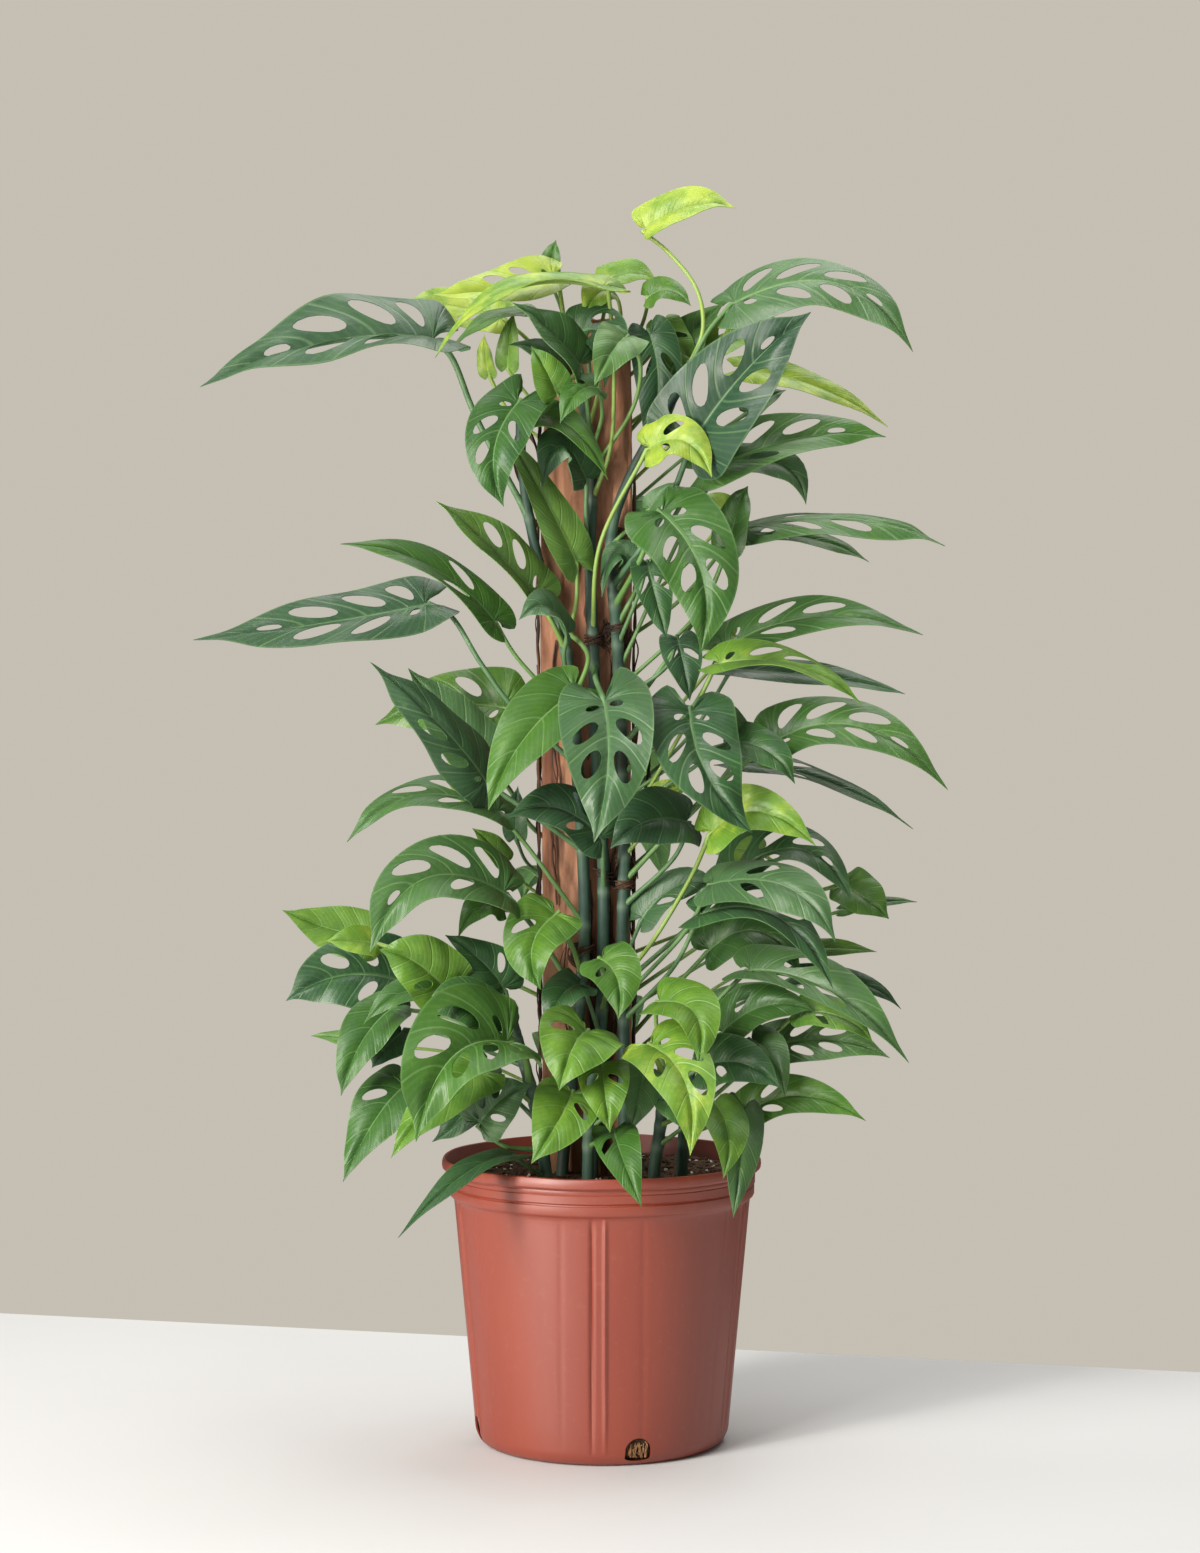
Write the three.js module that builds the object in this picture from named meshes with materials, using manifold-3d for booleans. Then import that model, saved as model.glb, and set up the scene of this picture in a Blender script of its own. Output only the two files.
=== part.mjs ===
// Potted swiss cheese vine: a climbing plant with holed leaves on a wooden pole in a nursery pot.
// Millimetres, +Z up, origin at the middle of the pot's underside. The front looks along -Y.

import * as THREE from "three";
import { mergeVertices } from "three/addons/utils/BufferGeometryUtils.js";
import Module from "manifold-3d";

const wasm = await Module();
wasm.setup();

// Driving dimensions
const lipRadius = 135;
const potHeight = 240;
const potBaseRadius = 105;
const bandBottom = 209;
const soilTop = 226;
const soilGap = 0.4;
const poleThick = 22;
const stemRadius = 5.2;
const bladeThick = 1.2;
const slimBladeThick = 1.0;

// The photograph's camera. Places on the plant are read off the photograph as
// [pixel across, pixel down, depth], with depth in millimetres along +Y from the pot's axis.
const camera = {
  back: 2800,
  high: 650,
  aside: -1.7,
  focalPixels: 3324,
  pitch: THREE.MathUtils.degToRad(1.82),
  centre: [600, 776.5],
};

function place(spot) {
  if (spot instanceof THREE.Vector3) {
    return spot.clone();
  }
  const [across, down, depth] = spot;
  const right = (across - camera.centre[0]) / camera.focalPixels;
  const up = (camera.centre[1] - down) / camera.focalPixels;
  const ahead = Math.cos(camera.pitch) + up * Math.sin(camera.pitch);
  const climb = up * Math.cos(camera.pitch) - Math.sin(camera.pitch);
  const reach = (depth + camera.back) / ahead;
  return new THREE.Vector3(camera.aside + right * reach, depth, camera.high + climb * reach);
}

// Colours of the pieces
const colours = {
  pot: "#b9583f",
  soil: "#2c2019",
  pole: "#a2694a",
  root: "#2e2119",
  deep: "#2f5a44",
  mid: "#3d7038",
  bright: "#5d9a35",
};

const finish = (colour, roughness) =>
  new THREE.MeshStandardMaterial({ color: colour, roughness, metalness: 0 });

const plant = new THREE.Group();

// Solids

function toSolid(geometry) {
  geometry.deleteAttribute("normal");
  geometry.deleteAttribute("uv");
  const merged = mergeVertices(geometry, 1e-4);
  return new wasm.Manifold(new wasm.Mesh({
    numProp: 3,
    vertProperties: new Float32Array(merged.attributes.position.array),
    triVerts: new Uint32Array(merged.index.array),
  }));
}

function addPiece(name, solid, material) {
  const mesh = solid.getMesh();
  const geometry = new THREE.BufferGeometry();
  geometry.setAttribute("position", new THREE.BufferAttribute(mesh.vertProperties, 3));
  geometry.setIndex(new THREE.BufferAttribute(mesh.triVerts, 1));
  geometry.computeVertexNormals();
  const piece = new THREE.Mesh(geometry, material);
  piece.name = name;
  plant.add(piece);
}

// A round rod of a few sides along a curve through the points.
function rod(points, radius, sides, steps) {
  const section = new THREE.Shape();
  for (let i = 0; i < sides; i++) {
    const angle = (2 * Math.PI * i) / sides;
    section[i ? "lineTo" : "moveTo"](radius * Math.cos(angle), radius * Math.sin(angle));
  }
  section.closePath();
  const path = new THREE.CatmullRomCurve3(points, false, "centripetal");
  return toSolid(new THREE.ExtrudeGeometry(section, { steps, extrudePath: path, bevelEnabled: false }));
}

function box(wide, deep, high, x, y, z) {
  return toSolid(new THREE.BoxGeometry(wide, deep, high).translate(x, y, z));
}

// Pot: a thin shell with a rolled lip, two bands, five upright ribs and four drain holes.

const potOutside = [
  [0, 0], [98, 0], [potBaseRadius, 3.5], [107.5, 11], [126.3, bandBottom - 2], [128.4, bandBottom],
  [129, 216.5], [127.8, 217.5], [129.6, 218.6], [130.2, 229], [129.2, 230], [133.6, 231],
  [lipRadius, 234], [lipRadius, 238], [133.4, potHeight],
];
const potInside = [
  [130.4, potHeight], [127.2, 229], [124.3, 207], [105.2, 11], [100, 4], [0, 4],
];
const potSides = 28;
const ribAngles = [0, 72, 144, 216, 288];
const ribWide = 2.6;
const ribStand = 1;
const drainAngles = [16, 92, 180, 282];
const drainWide = 20;
const drainHigh = 24;

function lathe(profile, sides) {
  const points = profile.map(([r, z]) => new THREE.Vector2(r, z));
  return toSolid(new THREE.LatheGeometry(points, sides).rotateX(Math.PI / 2));
}

function makePot() {
  let pot = lathe([...potOutside, ...potInside, potOutside[0]], potSides);
  for (const angle of ribAngles) {
    const low = [107.5, 14];
    const high = [126.2, bandBottom - 4];
    const lean = Math.atan2(high[0] - low[0], high[1] - low[1]);
    const rib = new THREE.BoxGeometry(ribWide, 2 * ribStand, Math.hypot(high[0] - low[0], high[1] - low[1]))
      .rotateX(lean)
      .translate(0, -(low[0] + high[0]) / 2, (low[1] + high[1]) / 2)
      .rotateZ(THREE.MathUtils.degToRad(angle));
    pot = pot.add(toSolid(rib));
  }
  for (const angle of drainAngles) {
    const arch = new THREE.Shape();
    arch.moveTo(-drainWide / 2, 6);
    arch.lineTo(drainWide / 2, 6);
    arch.lineTo(drainWide / 2, drainHigh * 0.7);
    arch.lineTo(drainWide / 4, drainHigh);
    arch.lineTo(-drainWide / 4, drainHigh);
    arch.lineTo(-drainWide / 2, drainHigh * 0.7);
    const cutter = new THREE.ExtrudeGeometry(arch, { depth: 30, bevelEnabled: false })
      .rotateX(Math.PI / 2)
      .translate(0, -90, 0)
      .rotateZ(THREE.MathUtils.degToRad(angle));
    pot = pot.subtract(toSolid(cutter));
  }
  return pot;
}

// Pole: a rough board with a stepped top and a raised strip of bark at its right.

const poleLeft = [[-51, 34], [-50, 430], [-52, 700], [-50, 915]];
const poleRight = [[25, 34], [25, 300], [24, 520], [25.5, 760], [25, 925]];
const poleTop = [[21, 938], [14, 945], [-23, 946], [-25, 926], [-38, 929]];

function makePole() {
  const outline = [...poleRight, ...poleTop, ...poleLeft.toReversed()];
  const shape = new THREE.Shape(outline.map(([x, z]) => new THREE.Vector2(x, z)));
  const board = new THREE.ExtrudeGeometry(shape, { depth: poleThick, bevelEnabled: false })
    .rotateX(Math.PI / 2)
    .translate(0, poleThick / 2, 0);
  const strip = new THREE.CapsuleGeometry(11, 90, 2, 8)
    .rotateX(Math.PI / 2)
    .scale(1, 0.8, 1)
    .translate(12.5, -poleThick / 2 + 2, 880);
  const top = box(60, 60, 40, 12, 0, 964);
  return toSolid(board).add(toSolid(strip).subtract(top));
}

// Vines. Each has one climbing stem and its leaves. A leaf's stalk leaves the stem at the pixel
// row `row`, passes the `via` places and ends at the leaf's joint.

const vines = {
  left: {
    stem: [
      [562, 1235, -24], [562, 1174, -24], [574, 1060, -20], [584, 950, -18], [583, 860, -18], [577, 770, -18],
      [572, 700, -19], [562, 630, -21], [541, 570, -22], [527, 505, -22], [521, 450, -22], [520, 415, -22],
    ],
    leaves: [
      { row: 520, via: [[475, 415, -26], [452, 358, -27]], joint: [433, 340, -30], mid: [330, 342, -55],
        tip: [200, 387, -75], wide: 96, face: 34, fold: 18, holes: [3, 2] },
      { row: 415, joint: [518, 403, -52], mid: [494, 452, -80], tip: [504, 507, -86],
        wide: 56, face: 75, fold: 8, lobe: 0.3, holes: [2, 1] },
      { row: 445, via: [[530, 430, -28]], joint: [536, 416, -33], mid: [574, 430, -48], tip: [608, 480, -54],
        wide: 36, face: 55 },
      { row: 645, via: [[576, 605, -32]], joint: [575, 560, -34], mid: [545, 500, -47], tip: [502, 428, -55],
        wide: 40, face: 60, fold: 8 },
      { row: 690, via: [[564, 655, -40]], joint: [566, 632, -50], mid: [545, 606, -66], tip: [519, 620, -74],
        wide: 42, face: 35, fold: 12 },
      { row: 650, via: [[552, 622, -34]], joint: [535, 595, -36], mid: [487, 545, -48], tip: [435, 501, -58],
        wide: 58, face: 38, fold: 24, holes: [2, 0] },
      { row: 735, via: [[545, 690, -32], [515, 655, -38]], joint: [493, 620, -42], mid: [425, 564, -60],
        tip: [340, 544, -78], wide: 46, face: 42, fold: 14, holes: [1, 1] },
      { row: 765, via: [[512, 706, -34], [480, 662, -36], [450, 615, -33]], joint: [425, 605, -32],
        mid: [320, 624, -50], tip: [193, 640, -66], wide: 64, face: 46, fold: 6, holes: [3, 2] },
      { row: 625, via: [[588, 655, -44]], joint: [575, 692, -58], mid: [522, 742, -88], tip: [488, 811, -104],
        wide: 62, face: 68, fold: 12 },
      { row: 850, via: [[520, 806, -40]], joint: [485, 780, -50], mid: [440, 725, -70], tip: [370, 662, -82],
        wide: 62, face: 42, fold: -10, holes: [0, 2] },
      { row: 925, via: [[530, 850, -34]], joint: [497, 812, -40], mid: [415, 796, -62], tip: [347, 842, -82],
        wide: 50, face: 34, fold: 8, holes: [2, 1] },
      { row: 1000, via: [[535, 930, -42]], joint: [503, 893, -58], mid: [422, 880, -92], tip: [370, 954, -114],
        wide: 76, face: 44, fold: 14, holes: [3, 1] },
      { row: 975, via: [[568, 935, -38]], joint: [555, 915, -54], mid: [532, 948, -78], tip: [541, 990, -90],
        wide: 60, face: 76, holes: [1, 0] },
      { row: 960, via: [[540, 915, -36]], joint: [502, 908, -42], mid: [478, 908, -50], tip: [458, 938, -56],
        wide: 32, face: 50 },
    ],
  },
  middle: {
    stem: [
      [592, 1235, -24], [592, 1174, -24], [600, 1060, -20], [603, 960, -18], [603, 860, -18], [598, 780, -18],
      [595, 700, -18], [592, 620, -18], [590, 560, -18], [592, 500, -18], [590, 440, -18], [582, 400, -20],
    ],
    leaves: [
      { row: 404, via: [[568, 345, -18], [562, 305, -10]], joint: [554, 279, -8], mid: [500, 290, -22],
        tip: [433, 295, -34], wide: 50, face: 48, fold: 18, holes: [2, 0] },
      { row: 500, via: [[610, 450, -30], [614, 380, -24], [612, 330, -24]], joint: [604, 287, -38], mid: [508, 291, -60],
        tip: [435, 358, -82], wide: 44, face: 24, fold: 12 },
      { row: 442, via: [[586, 395, -38]], joint: [578, 364, -54], mid: [550, 332, -72], tip: [513, 303, -80],
        wide: 52, face: 46, fold: 18 },
      { row: 440, via: [[572, 386, -23]], joint: [564, 374, -26], mid: [540, 352, -36], tip: [508, 345, -42],
        wide: 34, face: 30 },
      { row: 420, via: [[588, 360, -26]], joint: [578, 333, -30], mid: [604, 338, -40], tip: [604, 388, -44],
        wide: 50, face: 66, holes: [1, 1] },
      { row: 470, via: [[634, 405, -42], [640, 362, -56]], joint: [626, 337, -68], mid: [612, 352, -88],
        tip: [594, 386, -98], wide: 42, face: 78 },
      { row: 455, via: [[602, 415, -42]], joint: [596, 388, -64], mid: [576, 394, -78], tip: [560, 424, -86],
        wide: 32, face: 66, holes: [1, 0] },
      { row: 402, via: [[568, 390, -38]], joint: [556, 392, -57], tip: [531, 346, -69], wide: 32, face: 74 },
      { row: 560, via: [[586, 520, -28]], joint: [585, 478, -32], mid: [560, 446, -46], tip: [542, 488, -52],
        wide: 48, face: 45 },
      { row: 635, via: [[600, 545, -46]], joint: [650, 448, -58], mid: [686, 442, -76], tip: [712, 478, -84],
        wide: 46, face: 70, holes: [1, 1] },
      { row: 665, via: [[596, 680, -52]], joint: [604, 702, -80], mid: [608, 765, -118], tip: [594, 843, -130],
        wide: 80, face: 80, fold: 8, lobe: 0.24, holes: [2, 2] },
      { row: 890, joint: [600, 838, -46], mid: [556, 808, -60], tip: [507, 818, -72],
        wide: 52, face: 58, holes: [1, 1] },
      { row: 1010, via: [[606, 988, -50]], joint: [602, 960, -74], mid: [618, 982, -94], tip: [618, 1020, -104],
        wide: 48, face: 80, holes: [1, 0] },
      { row: 1040, via: [[590, 1005, -34]], joint: [580, 985, -44], mid: [560, 998, -62], tip: [548, 1031, -72],
        wide: 40, face: 60 },
      { row: 428, via: [[598, 392, -24], [602, 325, -24]], joint: [606, 292, -16], mid: [596, 296, -24],
        tip: [583, 315, -30], wide: 34, face: 62 },
    ],
  },
  right: {
    stem: [
      [624, 1235, -24], [624, 1174, -24], [624, 1060, -20], [622, 960, -18], [624, 860, -18], [622, 780, -18],
      [620, 700, -18], [616, 620, -18], [611, 560, -19], [614, 520, -22], [632, 472, -30], [655, 430, -36],
      [678, 390, -40], [692, 362, -40],
    ],
    leaves: [
      { row: 362, via: [[703, 330, -38], [697, 290, -30], [668, 252, -18]], joint: [646, 229, -14],
        mid: [692, 206, -22], tip: [735, 208, -30], wide: 46, face: 50, fold: 18, lobe: 0.06 },
      { row: 385, via: [[708, 332, -44]], joint: [735, 303, -38], mid: [838, 284, -66], tip: [913, 352, -84],
        wide: 60, face: 50, fold: -6, holes: [2, 3] },
      { row: 585, via: [[640, 550, -48], [670, 500, -52]], joint: [693, 442, -58], mid: [745, 372, -84],
        tip: [811, 312, -98], wide: 92, face: 70, fold: 14, holes: [2, 3] },
      { row: 628, via: [[684, 500, -40]], joint: [708, 471, -40], mid: [800, 438, -56], tip: [886, 437, -62],
        wide: 60, face: 48, fold: 14, holes: [1, 3] },
      { row: 670, via: [[700, 500, -24]], joint: [735, 462, -22], mid: [785, 468, -30], tip: [806, 505, -36],
        wide: 36, face: 50 },
      { row: 606, via: [[640, 560, -56]], joint: [662, 513, -74], mid: [702, 575, -110], tip: [700, 655, -122],
        wide: 76, face: 80, fold: 6, holes: [2, 2] },
      { row: 545, joint: [650, 508, -54], tip: [676, 482, -60], wide: 20, face: 60 },
      { row: 596, joint: [628, 558, -29], mid: [612, 558, -33], tip: [602, 598, -34],
        wide: 26, face: 50 },
      { row: 690, via: [[700, 610, -28]], joint: [728, 548, -34], mid: [738, 510, -42], tip: [748, 486, -46],
        wide: 34, face: 60 },
      { row: 725, via: [[706, 600, -20]], joint: [738, 528, -14], mid: [850, 519, -36], tip: [945, 546, -54],
        wide: 54, face: 22, fold: -14, holes: [3, 1] },
      { row: 775, via: [[692, 708, -24]], joint: [727, 647, -18], mid: [820, 617, -36], tip: [923, 635, -52],
        wide: 56, face: 42, fold: 10, holes: [1, 2] },
      { row: 830, via: [[694, 710, -44]], joint: [720, 664, -54], mid: [795, 666, -72], tip: [862, 705, -84],
        wide: 44, face: 38, fold: 18, holes: [0, 2] },
      { row: 700, via: [[668, 665, -30]], joint: [678, 640, -36], mid: [684, 668, -48], tip: [690, 701, -54],
        wide: 36, face: 76, holes: [1, 1] },
      { row: 645, via: [[640, 590, -40]], joint: [648, 565, -50], mid: [656, 600, -62], tip: [667, 640, -66],
        wide: 34, face: 74, holes: [1, 1] },
      { row: 745, via: [[660, 708, -48]], joint: [690, 712, -76], mid: [707, 775, -112], tip: [752, 833, -124],
        wide: 76, face: 72, lobe: 0.2, holes: [2, 2] },
      { row: 815, via: [[690, 770, -52]], joint: [732, 742, -66], mid: [768, 752, -84], tip: [795, 784, -94],
        wide: 42, face: 52 },
      { row: 800, via: [[690, 756, -34]], joint: [734, 738, -40], tip: [728, 702, -42], wide: 26, face: 60 },
      { row: 880, via: [[712, 790, -36]], joint: [775, 741, -34], mid: [862, 728, -58], tip: [948, 790, -78],
        wide: 64, face: 50, fold: 10, holes: [2, 3] },
      { row: 978, via: [[650, 945, -40], [692, 875, -54]], joint: [712, 832, -74], mid: [760, 812, -96], tip: [816, 846, -110],
        wide: 52, face: 56, fold: 10 },
      { row: 905, via: [[676, 855, -42]], joint: [686, 822, -54], mid: [646, 822, -82], tip: [610, 849, -94],
        wide: 58, face: 62 },
      { row: 855, via: [[646, 828, -28]], joint: [652, 803, -32], tip: [690, 784, -36], wide: 28, face: 60 },
      { row: 1000, via: [[690, 925, -54]], joint: [713, 884, -72], mid: [788, 888, -108], tip: [836, 943, -128],
        wide: 54, face: 46, fold: -4, holes: [1, 1] },
      { row: 985, via: [[700, 915, -32]], joint: [733, 875, -32], mid: [802, 850, -56], tip: [853, 903, -76],
        wide: 60, face: 44, fold: 12, holes: [1, 3] },
      { row: 1022, via: [[675, 965, -46]], joint: [703, 914, -60], mid: [778, 918, -98], tip: [833, 989, -122],
        wide: 58, face: 46, fold: 16, holes: [0, 2] },
      { row: 968, joint: [643, 918, -26], mid: [680, 885, -34], tip: [722, 890, -38],
        wide: 38, face: 45, holes: [1, 0] },
    ],
  },
  rearLeft: {
    stem: [
      [560, 1235, 26], [560, 1174, 26], [566, 1000, 22], [562, 800, 20], [558, 600, 20], [556, 450, 20],
      [560, 380, 20], [566, 345, 18],
    ],
    leaves: [
      { row: 400, via: [[532, 345, 20]], joint: [500, 318, 22], mid: [452, 305, 32], tip: [407, 300, 38],
        wide: 42, face: 62, holes: [1, 1] },
      { row: 345, via: [[562, 312, 14]], joint: [549, 274, 10], tip: [556, 240, 8], wide: 22, face: 70 },
      { row: 430, via: [[525, 392, 12]], joint: [508, 366, 6], tip: [514, 312, 0], wide: 22, face: 70 },
      { row: 352, via: [[548, 325, 6]], joint: [528, 313, -6], mid: [486, 322, -14], tip: [452, 350, -22],
        wide: 30, face: 28 },
      { row: 450, via: [[508, 410, 20]], joint: [489, 374, 18], tip: [484, 334, 14], wide: 18, face: 60 },
      { row: 800, via: [[530, 740, 18]], joint: [505, 708, 14], mid: [440, 706, 24], tip: [375, 725, 32],
        wide: 70, face: 62, holes: [1, 2] },
      { row: 850, via: [[530, 825, 20], [510, 790, 4]], joint: [487, 762, -12], mid: [446, 716, -14],
        tip: [408, 668, -18], wide: 56, face: 66 },
      { row: 835, via: [[522, 805, 26]], joint: [478, 790, 30], tip: [447, 760, 42], wide: 40, face: 70 },
      { row: 1010, via: [[470, 965, 14]], joint: [372, 938, 4], mid: [328, 928, 4], tip: [282, 910, -6],
        wide: 46, face: 72 },
      { row: 1100, via: [[460, 1055, 22]], joint: [365, 1044, 24], tip: [311, 1036, 30], wide: 18, face: 50 },
      { row: 885, via: [[530, 866, 20]], joint: [516, 836, -6], tip: [518, 786, -8], wide: 22, face: 74 },
      { row: 910, via: [[526, 885, 20]], joint: [504, 860, -4], tip: [472, 828, -12], wide: 22, face: 60 },
    ],
  },
  rearRight: {
    stem: [
      [622, 1235, 26], [622, 1174, 26], [618, 1000, 22], [620, 800, 20], [616, 600, 20], [612, 450, 20],
      [614, 380, 20], [622, 345, 18],
    ],
    leaves: [
      { row: 362, via: [[644, 352, 16], [650, 343, -2]], joint: [650, 334, -20], mid: [658, 392, -25], tip: [644, 462, -26],
        wide: 42, face: 86, fold: 3, holes: [1, 1] },
      { row: 346, via: [[638, 332, 18], [646, 312, 4]], joint: [650, 296, -12], mid: [670, 291, -20], tip: [691, 306, -26],
        wide: 30, face: 60, lobe: 0.2 },
      { row: 390, via: [[652, 352, 22]], joint: [662, 324, 8], mid: [680, 350, 4], tip: [702, 361, 4],
        wide: 34, face: 66, holes: [1, 1] },
      { row: 348, via: [[618, 300, 18]], joint: [605, 280, 8], mid: [632, 273, 4], tip: [658, 282, 0],
        wide: 34, face: 44 },
      { row: 450, via: [[648, 410, 14]], joint: [670, 378, 10], mid: [690, 336, 12], tip: [725, 303, 8],
        wide: 44, face: 62, holes: [1, 0] },
      { row: 435, via: [[664, 396, 22]], joint: [706, 346, 18], mid: [746, 328, 10], tip: [783, 321, 4],
        wide: 36, face: 66, holes: [0, 1] },
      { row: 500, via: [[690, 425, 6]], joint: [745, 370, -2], mid: [820, 388, -8], tip: [888, 427, -16],
        wide: 30, face: 58 },
      { row: 518, via: [[700, 445, 22]], joint: [748, 412, 18], tip: [786, 390, 20], wide: 22, face: 60 },
      { row: 645, via: [[680, 600, 10]], joint: [735, 538, 6], mid: [805, 538, 0], tip: [869, 562, -8],
        wide: 38, face: 28, holes: [1, 1] },
      { row: 625, via: [[690, 560, 24]], joint: [728, 510, 24], tip: [690, 500, 28], wide: 26, face: 60 },
      { row: 800, via: [[690, 735, 12]], joint: [735, 670, 8], mid: [830, 678, 0], tip: [905, 694, -8],
        wide: 32, face: 34 },
      { row: 780, via: [[672, 715, 24]], joint: [735, 636, 18], tip: [700, 651, 22], wide: 26, face: 60 },
      { row: 880, via: [[700, 805, 10]], joint: [738, 763, 2], mid: [828, 782, -4], tip: [913, 829, -16],
        wide: 34, face: 30, holes: [1, 1] },
      { row: 960, via: [[790, 880, 24]], joint: [758, 852, 20], tip: [702, 846, 26], wide: 28, face: 70 },
      { row: 1000, via: [[760, 910, 6]], joint: [845, 886, -8], tip: [889, 919, -22], wide: 42, face: 62 },
      { row: 1015, via: [[760, 934, 16]], joint: [845, 910, 8], tip: [917, 902, -2], wide: 16, face: 45 },
      { row: 1050, via: [[672, 990, 6]], joint: [710, 950, -10], mid: [760, 932, -23], tip: [803, 978, -32],
        wide: 50, face: 48 },
      { row: 1080, via: [[720, 1015, 12]], joint: [800, 976, 6], mid: [858, 982, 2], tip: [901, 1009, -6],
        wide: 24, face: 45 },
      { row: 1065, via: [[720, 985, 22]], joint: [800, 950, 18], tip: [877, 952, 12], wide: 18, face: 55 },
    ],
  },
  lowLeft: {
    stem: [
      [548, 1235, -58], [546, 1174, -60], [536, 1110, -66], [522, 1055, -72], [512, 1018, -74],
    ],
    leaves: [
      { row: 1032, via: [[455, 988, -40]], joint: [400, 981, -28], mid: [340, 976, -44], tip: [286, 1001, -54],
        wide: 74, face: 62, fold: 8, holes: [2, 1] },
      { row: 1024, via: [[450, 966, -52]], joint: [374, 943, -50], tip: [326, 941, -60], wide: 28, face: 60 },
      { row: 1040, via: [[480, 1012, -84]], joint: [447, 992, -90], mid: [415, 962, -104], tip: [379, 950, -110],
        wide: 58, face: 66, holes: [0, 1] },
      { row: 1050, via: [[480, 1020, -72]], joint: [450, 996, -72], mid: [404, 992, -86], tip: [363, 1025, -94],
        wide: 34, face: 52 },
      { row: 1058, via: [[450, 1018, -62]], joint: [390, 1010, -60], mid: [360, 1045, -82], tip: [341, 1096, -94],
        wide: 46, face: 62, fold: 14 },
      { row: 1068, via: [[440, 1034, -48]], joint: [402, 1032, -44], tip: [372, 1068, -58], wide: 36, face: 60 },
      { row: 1085, via: [[524, 1055, -90]], joint: [507, 1043, -106], mid: [450, 1060, -146], tip: [416, 1142, -164],
        wide: 98, face: 58, fold: 24, holes: [2, 3] },
      { row: 1060, via: [[515, 1040, -86]], joint: [498, 1032, -94], mid: [460, 1002, -106], tip: [424, 1018, -112],
        wide: 52, face: 52 },
      { row: 1104, via: [[505, 1082, -80]], joint: [482, 1074, -86], mid: [432, 1108, -110], tip: [391, 1158, -126],
        wide: 50, face: 60 },
      { row: 1090, via: [[460, 1078, -64]], joint: [405, 1086, -60], mid: [374, 1122, -82], tip: [343, 1182, -96],
        wide: 56, face: 62, holes: [1, 0] },
      { row: 1120, via: [[505, 1090, -54]], joint: [478, 1072, -44], mid: [466, 1110, -56], tip: [432, 1142, -62],
        wide: 46, face: 64 },
      { row: 1150, via: [[505, 1146, -74]], joint: [480, 1123, -80], mid: [502, 1099, -86], tip: [531, 1085, -84],
        wide: 48, face: 70, holes: [1, 2] },
      { row: 1178, via: [[530, 1168, -74]], joint: [512, 1156, -88], mid: [462, 1176, -142], tip: [398, 1238, -192],
        wide: 28, face: 34, fold: 10 },
      { row: 1018, joint: [503, 988, -64], mid: [480, 960, -68], tip: [445, 935, -68],
        wide: 50, face: 55, holes: [1, 0] },
    ],
  },
  lowMiddle: {
    stem: [[588, 1235, -62], [588, 1174, -64], [590, 1110, -72], [594, 1060, -80]],
    leaves: [
      { row: 1070, joint: [586, 1032, -108], mid: [572, 1050, -136], tip: [559, 1091, -150],
        wide: 72, face: 80, lobe: 0.28, holes: [1, 0] },
      { row: 1090, via: [[600, 1076, -90]], joint: [602, 1066, -106], mid: [605, 1095, -132], tip: [610, 1133, -142],
        wide: 44, face: 80, holes: [1, 1] },
      { row: 1115, joint: [572, 1094, -108], mid: [558, 1122, -138], tip: [531, 1164, -150],
        wide: 58, face: 76, lobe: 0.16, holes: [0, 1] },
      { row: 1145, via: [[605, 1138, -92]], joint: [614, 1131, -116], mid: [623, 1160, -156], tip: [642, 1208, -174],
        wide: 38, face: 76, holes: [1, 0] },
      { row: 1128, via: [[624, 1100, -82]], joint: [644, 1072, -90], mid: [638, 1100, -104], tip: [630, 1132, -108],
        wide: 36, face: 76 },
    ],
  },
  lowRight: {
    stem: [[652, 1235, -56], [654, 1174, -58], [662, 1110, -64], [662, 1065, -76]],
    leaves: [
      { row: 1070, joint: [652, 1046, -130], mid: [686, 1085, -172], tip: [690, 1156, -188],
        wide: 60, face: 76, lobe: 0.16, holes: [1, 2] },
      { row: 1065, via: [[656, 1022, -90]], joint: [660, 1002, -108], mid: [696, 1016, -142], tip: [698, 1068, -158],
        wide: 52, face: 70, fold: 14 },
      { row: 1090, via: [[684, 1078, -78]], joint: [704, 1066, -84], mid: [744, 1064, -106], tip: [781, 1089, -120],
        wide: 48, face: 66, holes: [1, 0] },
      { row: 1080, via: [[712, 1058, -66]], joint: [752, 1040, -70], mid: [772, 1058, -90], tip: [786, 1098, -102],
        wide: 36, face: 70, holes: [1, 0] },
      { row: 1125, via: [[690, 1112, -98]], joint: [714, 1103, -116], mid: [728, 1135, -148], tip: [723, 1179, -162],
        wide: 40, face: 70 },
      { row: 1145, via: [[700, 1118, -84]], joint: [743, 1108, -92], mid: [740, 1160, -130], tip: [733, 1218, -144],
        wide: 36, face: 76, holes: [1, 0] },
      { row: 1110, joint: [666, 1100, -96], tip: [698, 1136, -112], wide: 26, face: 62 },
    ],
  },
  lowSide: {
    stem: [[684, 1235, -28], [682, 1174, -30], [686, 1110, -34], [692, 1065, -38]],
    leaves: [
      { row: 1082, via: [[708, 1015, -42]], joint: [750, 971, -54], mid: [832, 992, -90], tip: [909, 1063, -110],
        wide: 54, face: 44, fold: 20, holes: [2, 1] },
      { row: 1095, joint: [723, 1032, -60], mid: [766, 1006, -76], tip: [814, 1011, -84],
        wide: 50, face: 42, holes: [0, 1] },
      { row: 1110, via: [[765, 1042, -58]], joint: [802, 1012, -74], mid: [842, 1018, -88], tip: [873, 1043, -96],
        wide: 38, face: 52, holes: [1, 0] },
      { row: 1122, via: [[735, 1078, -38]], joint: [768, 1049, -42], mid: [830, 1040, -60], tip: [890, 1058, -70],
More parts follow.
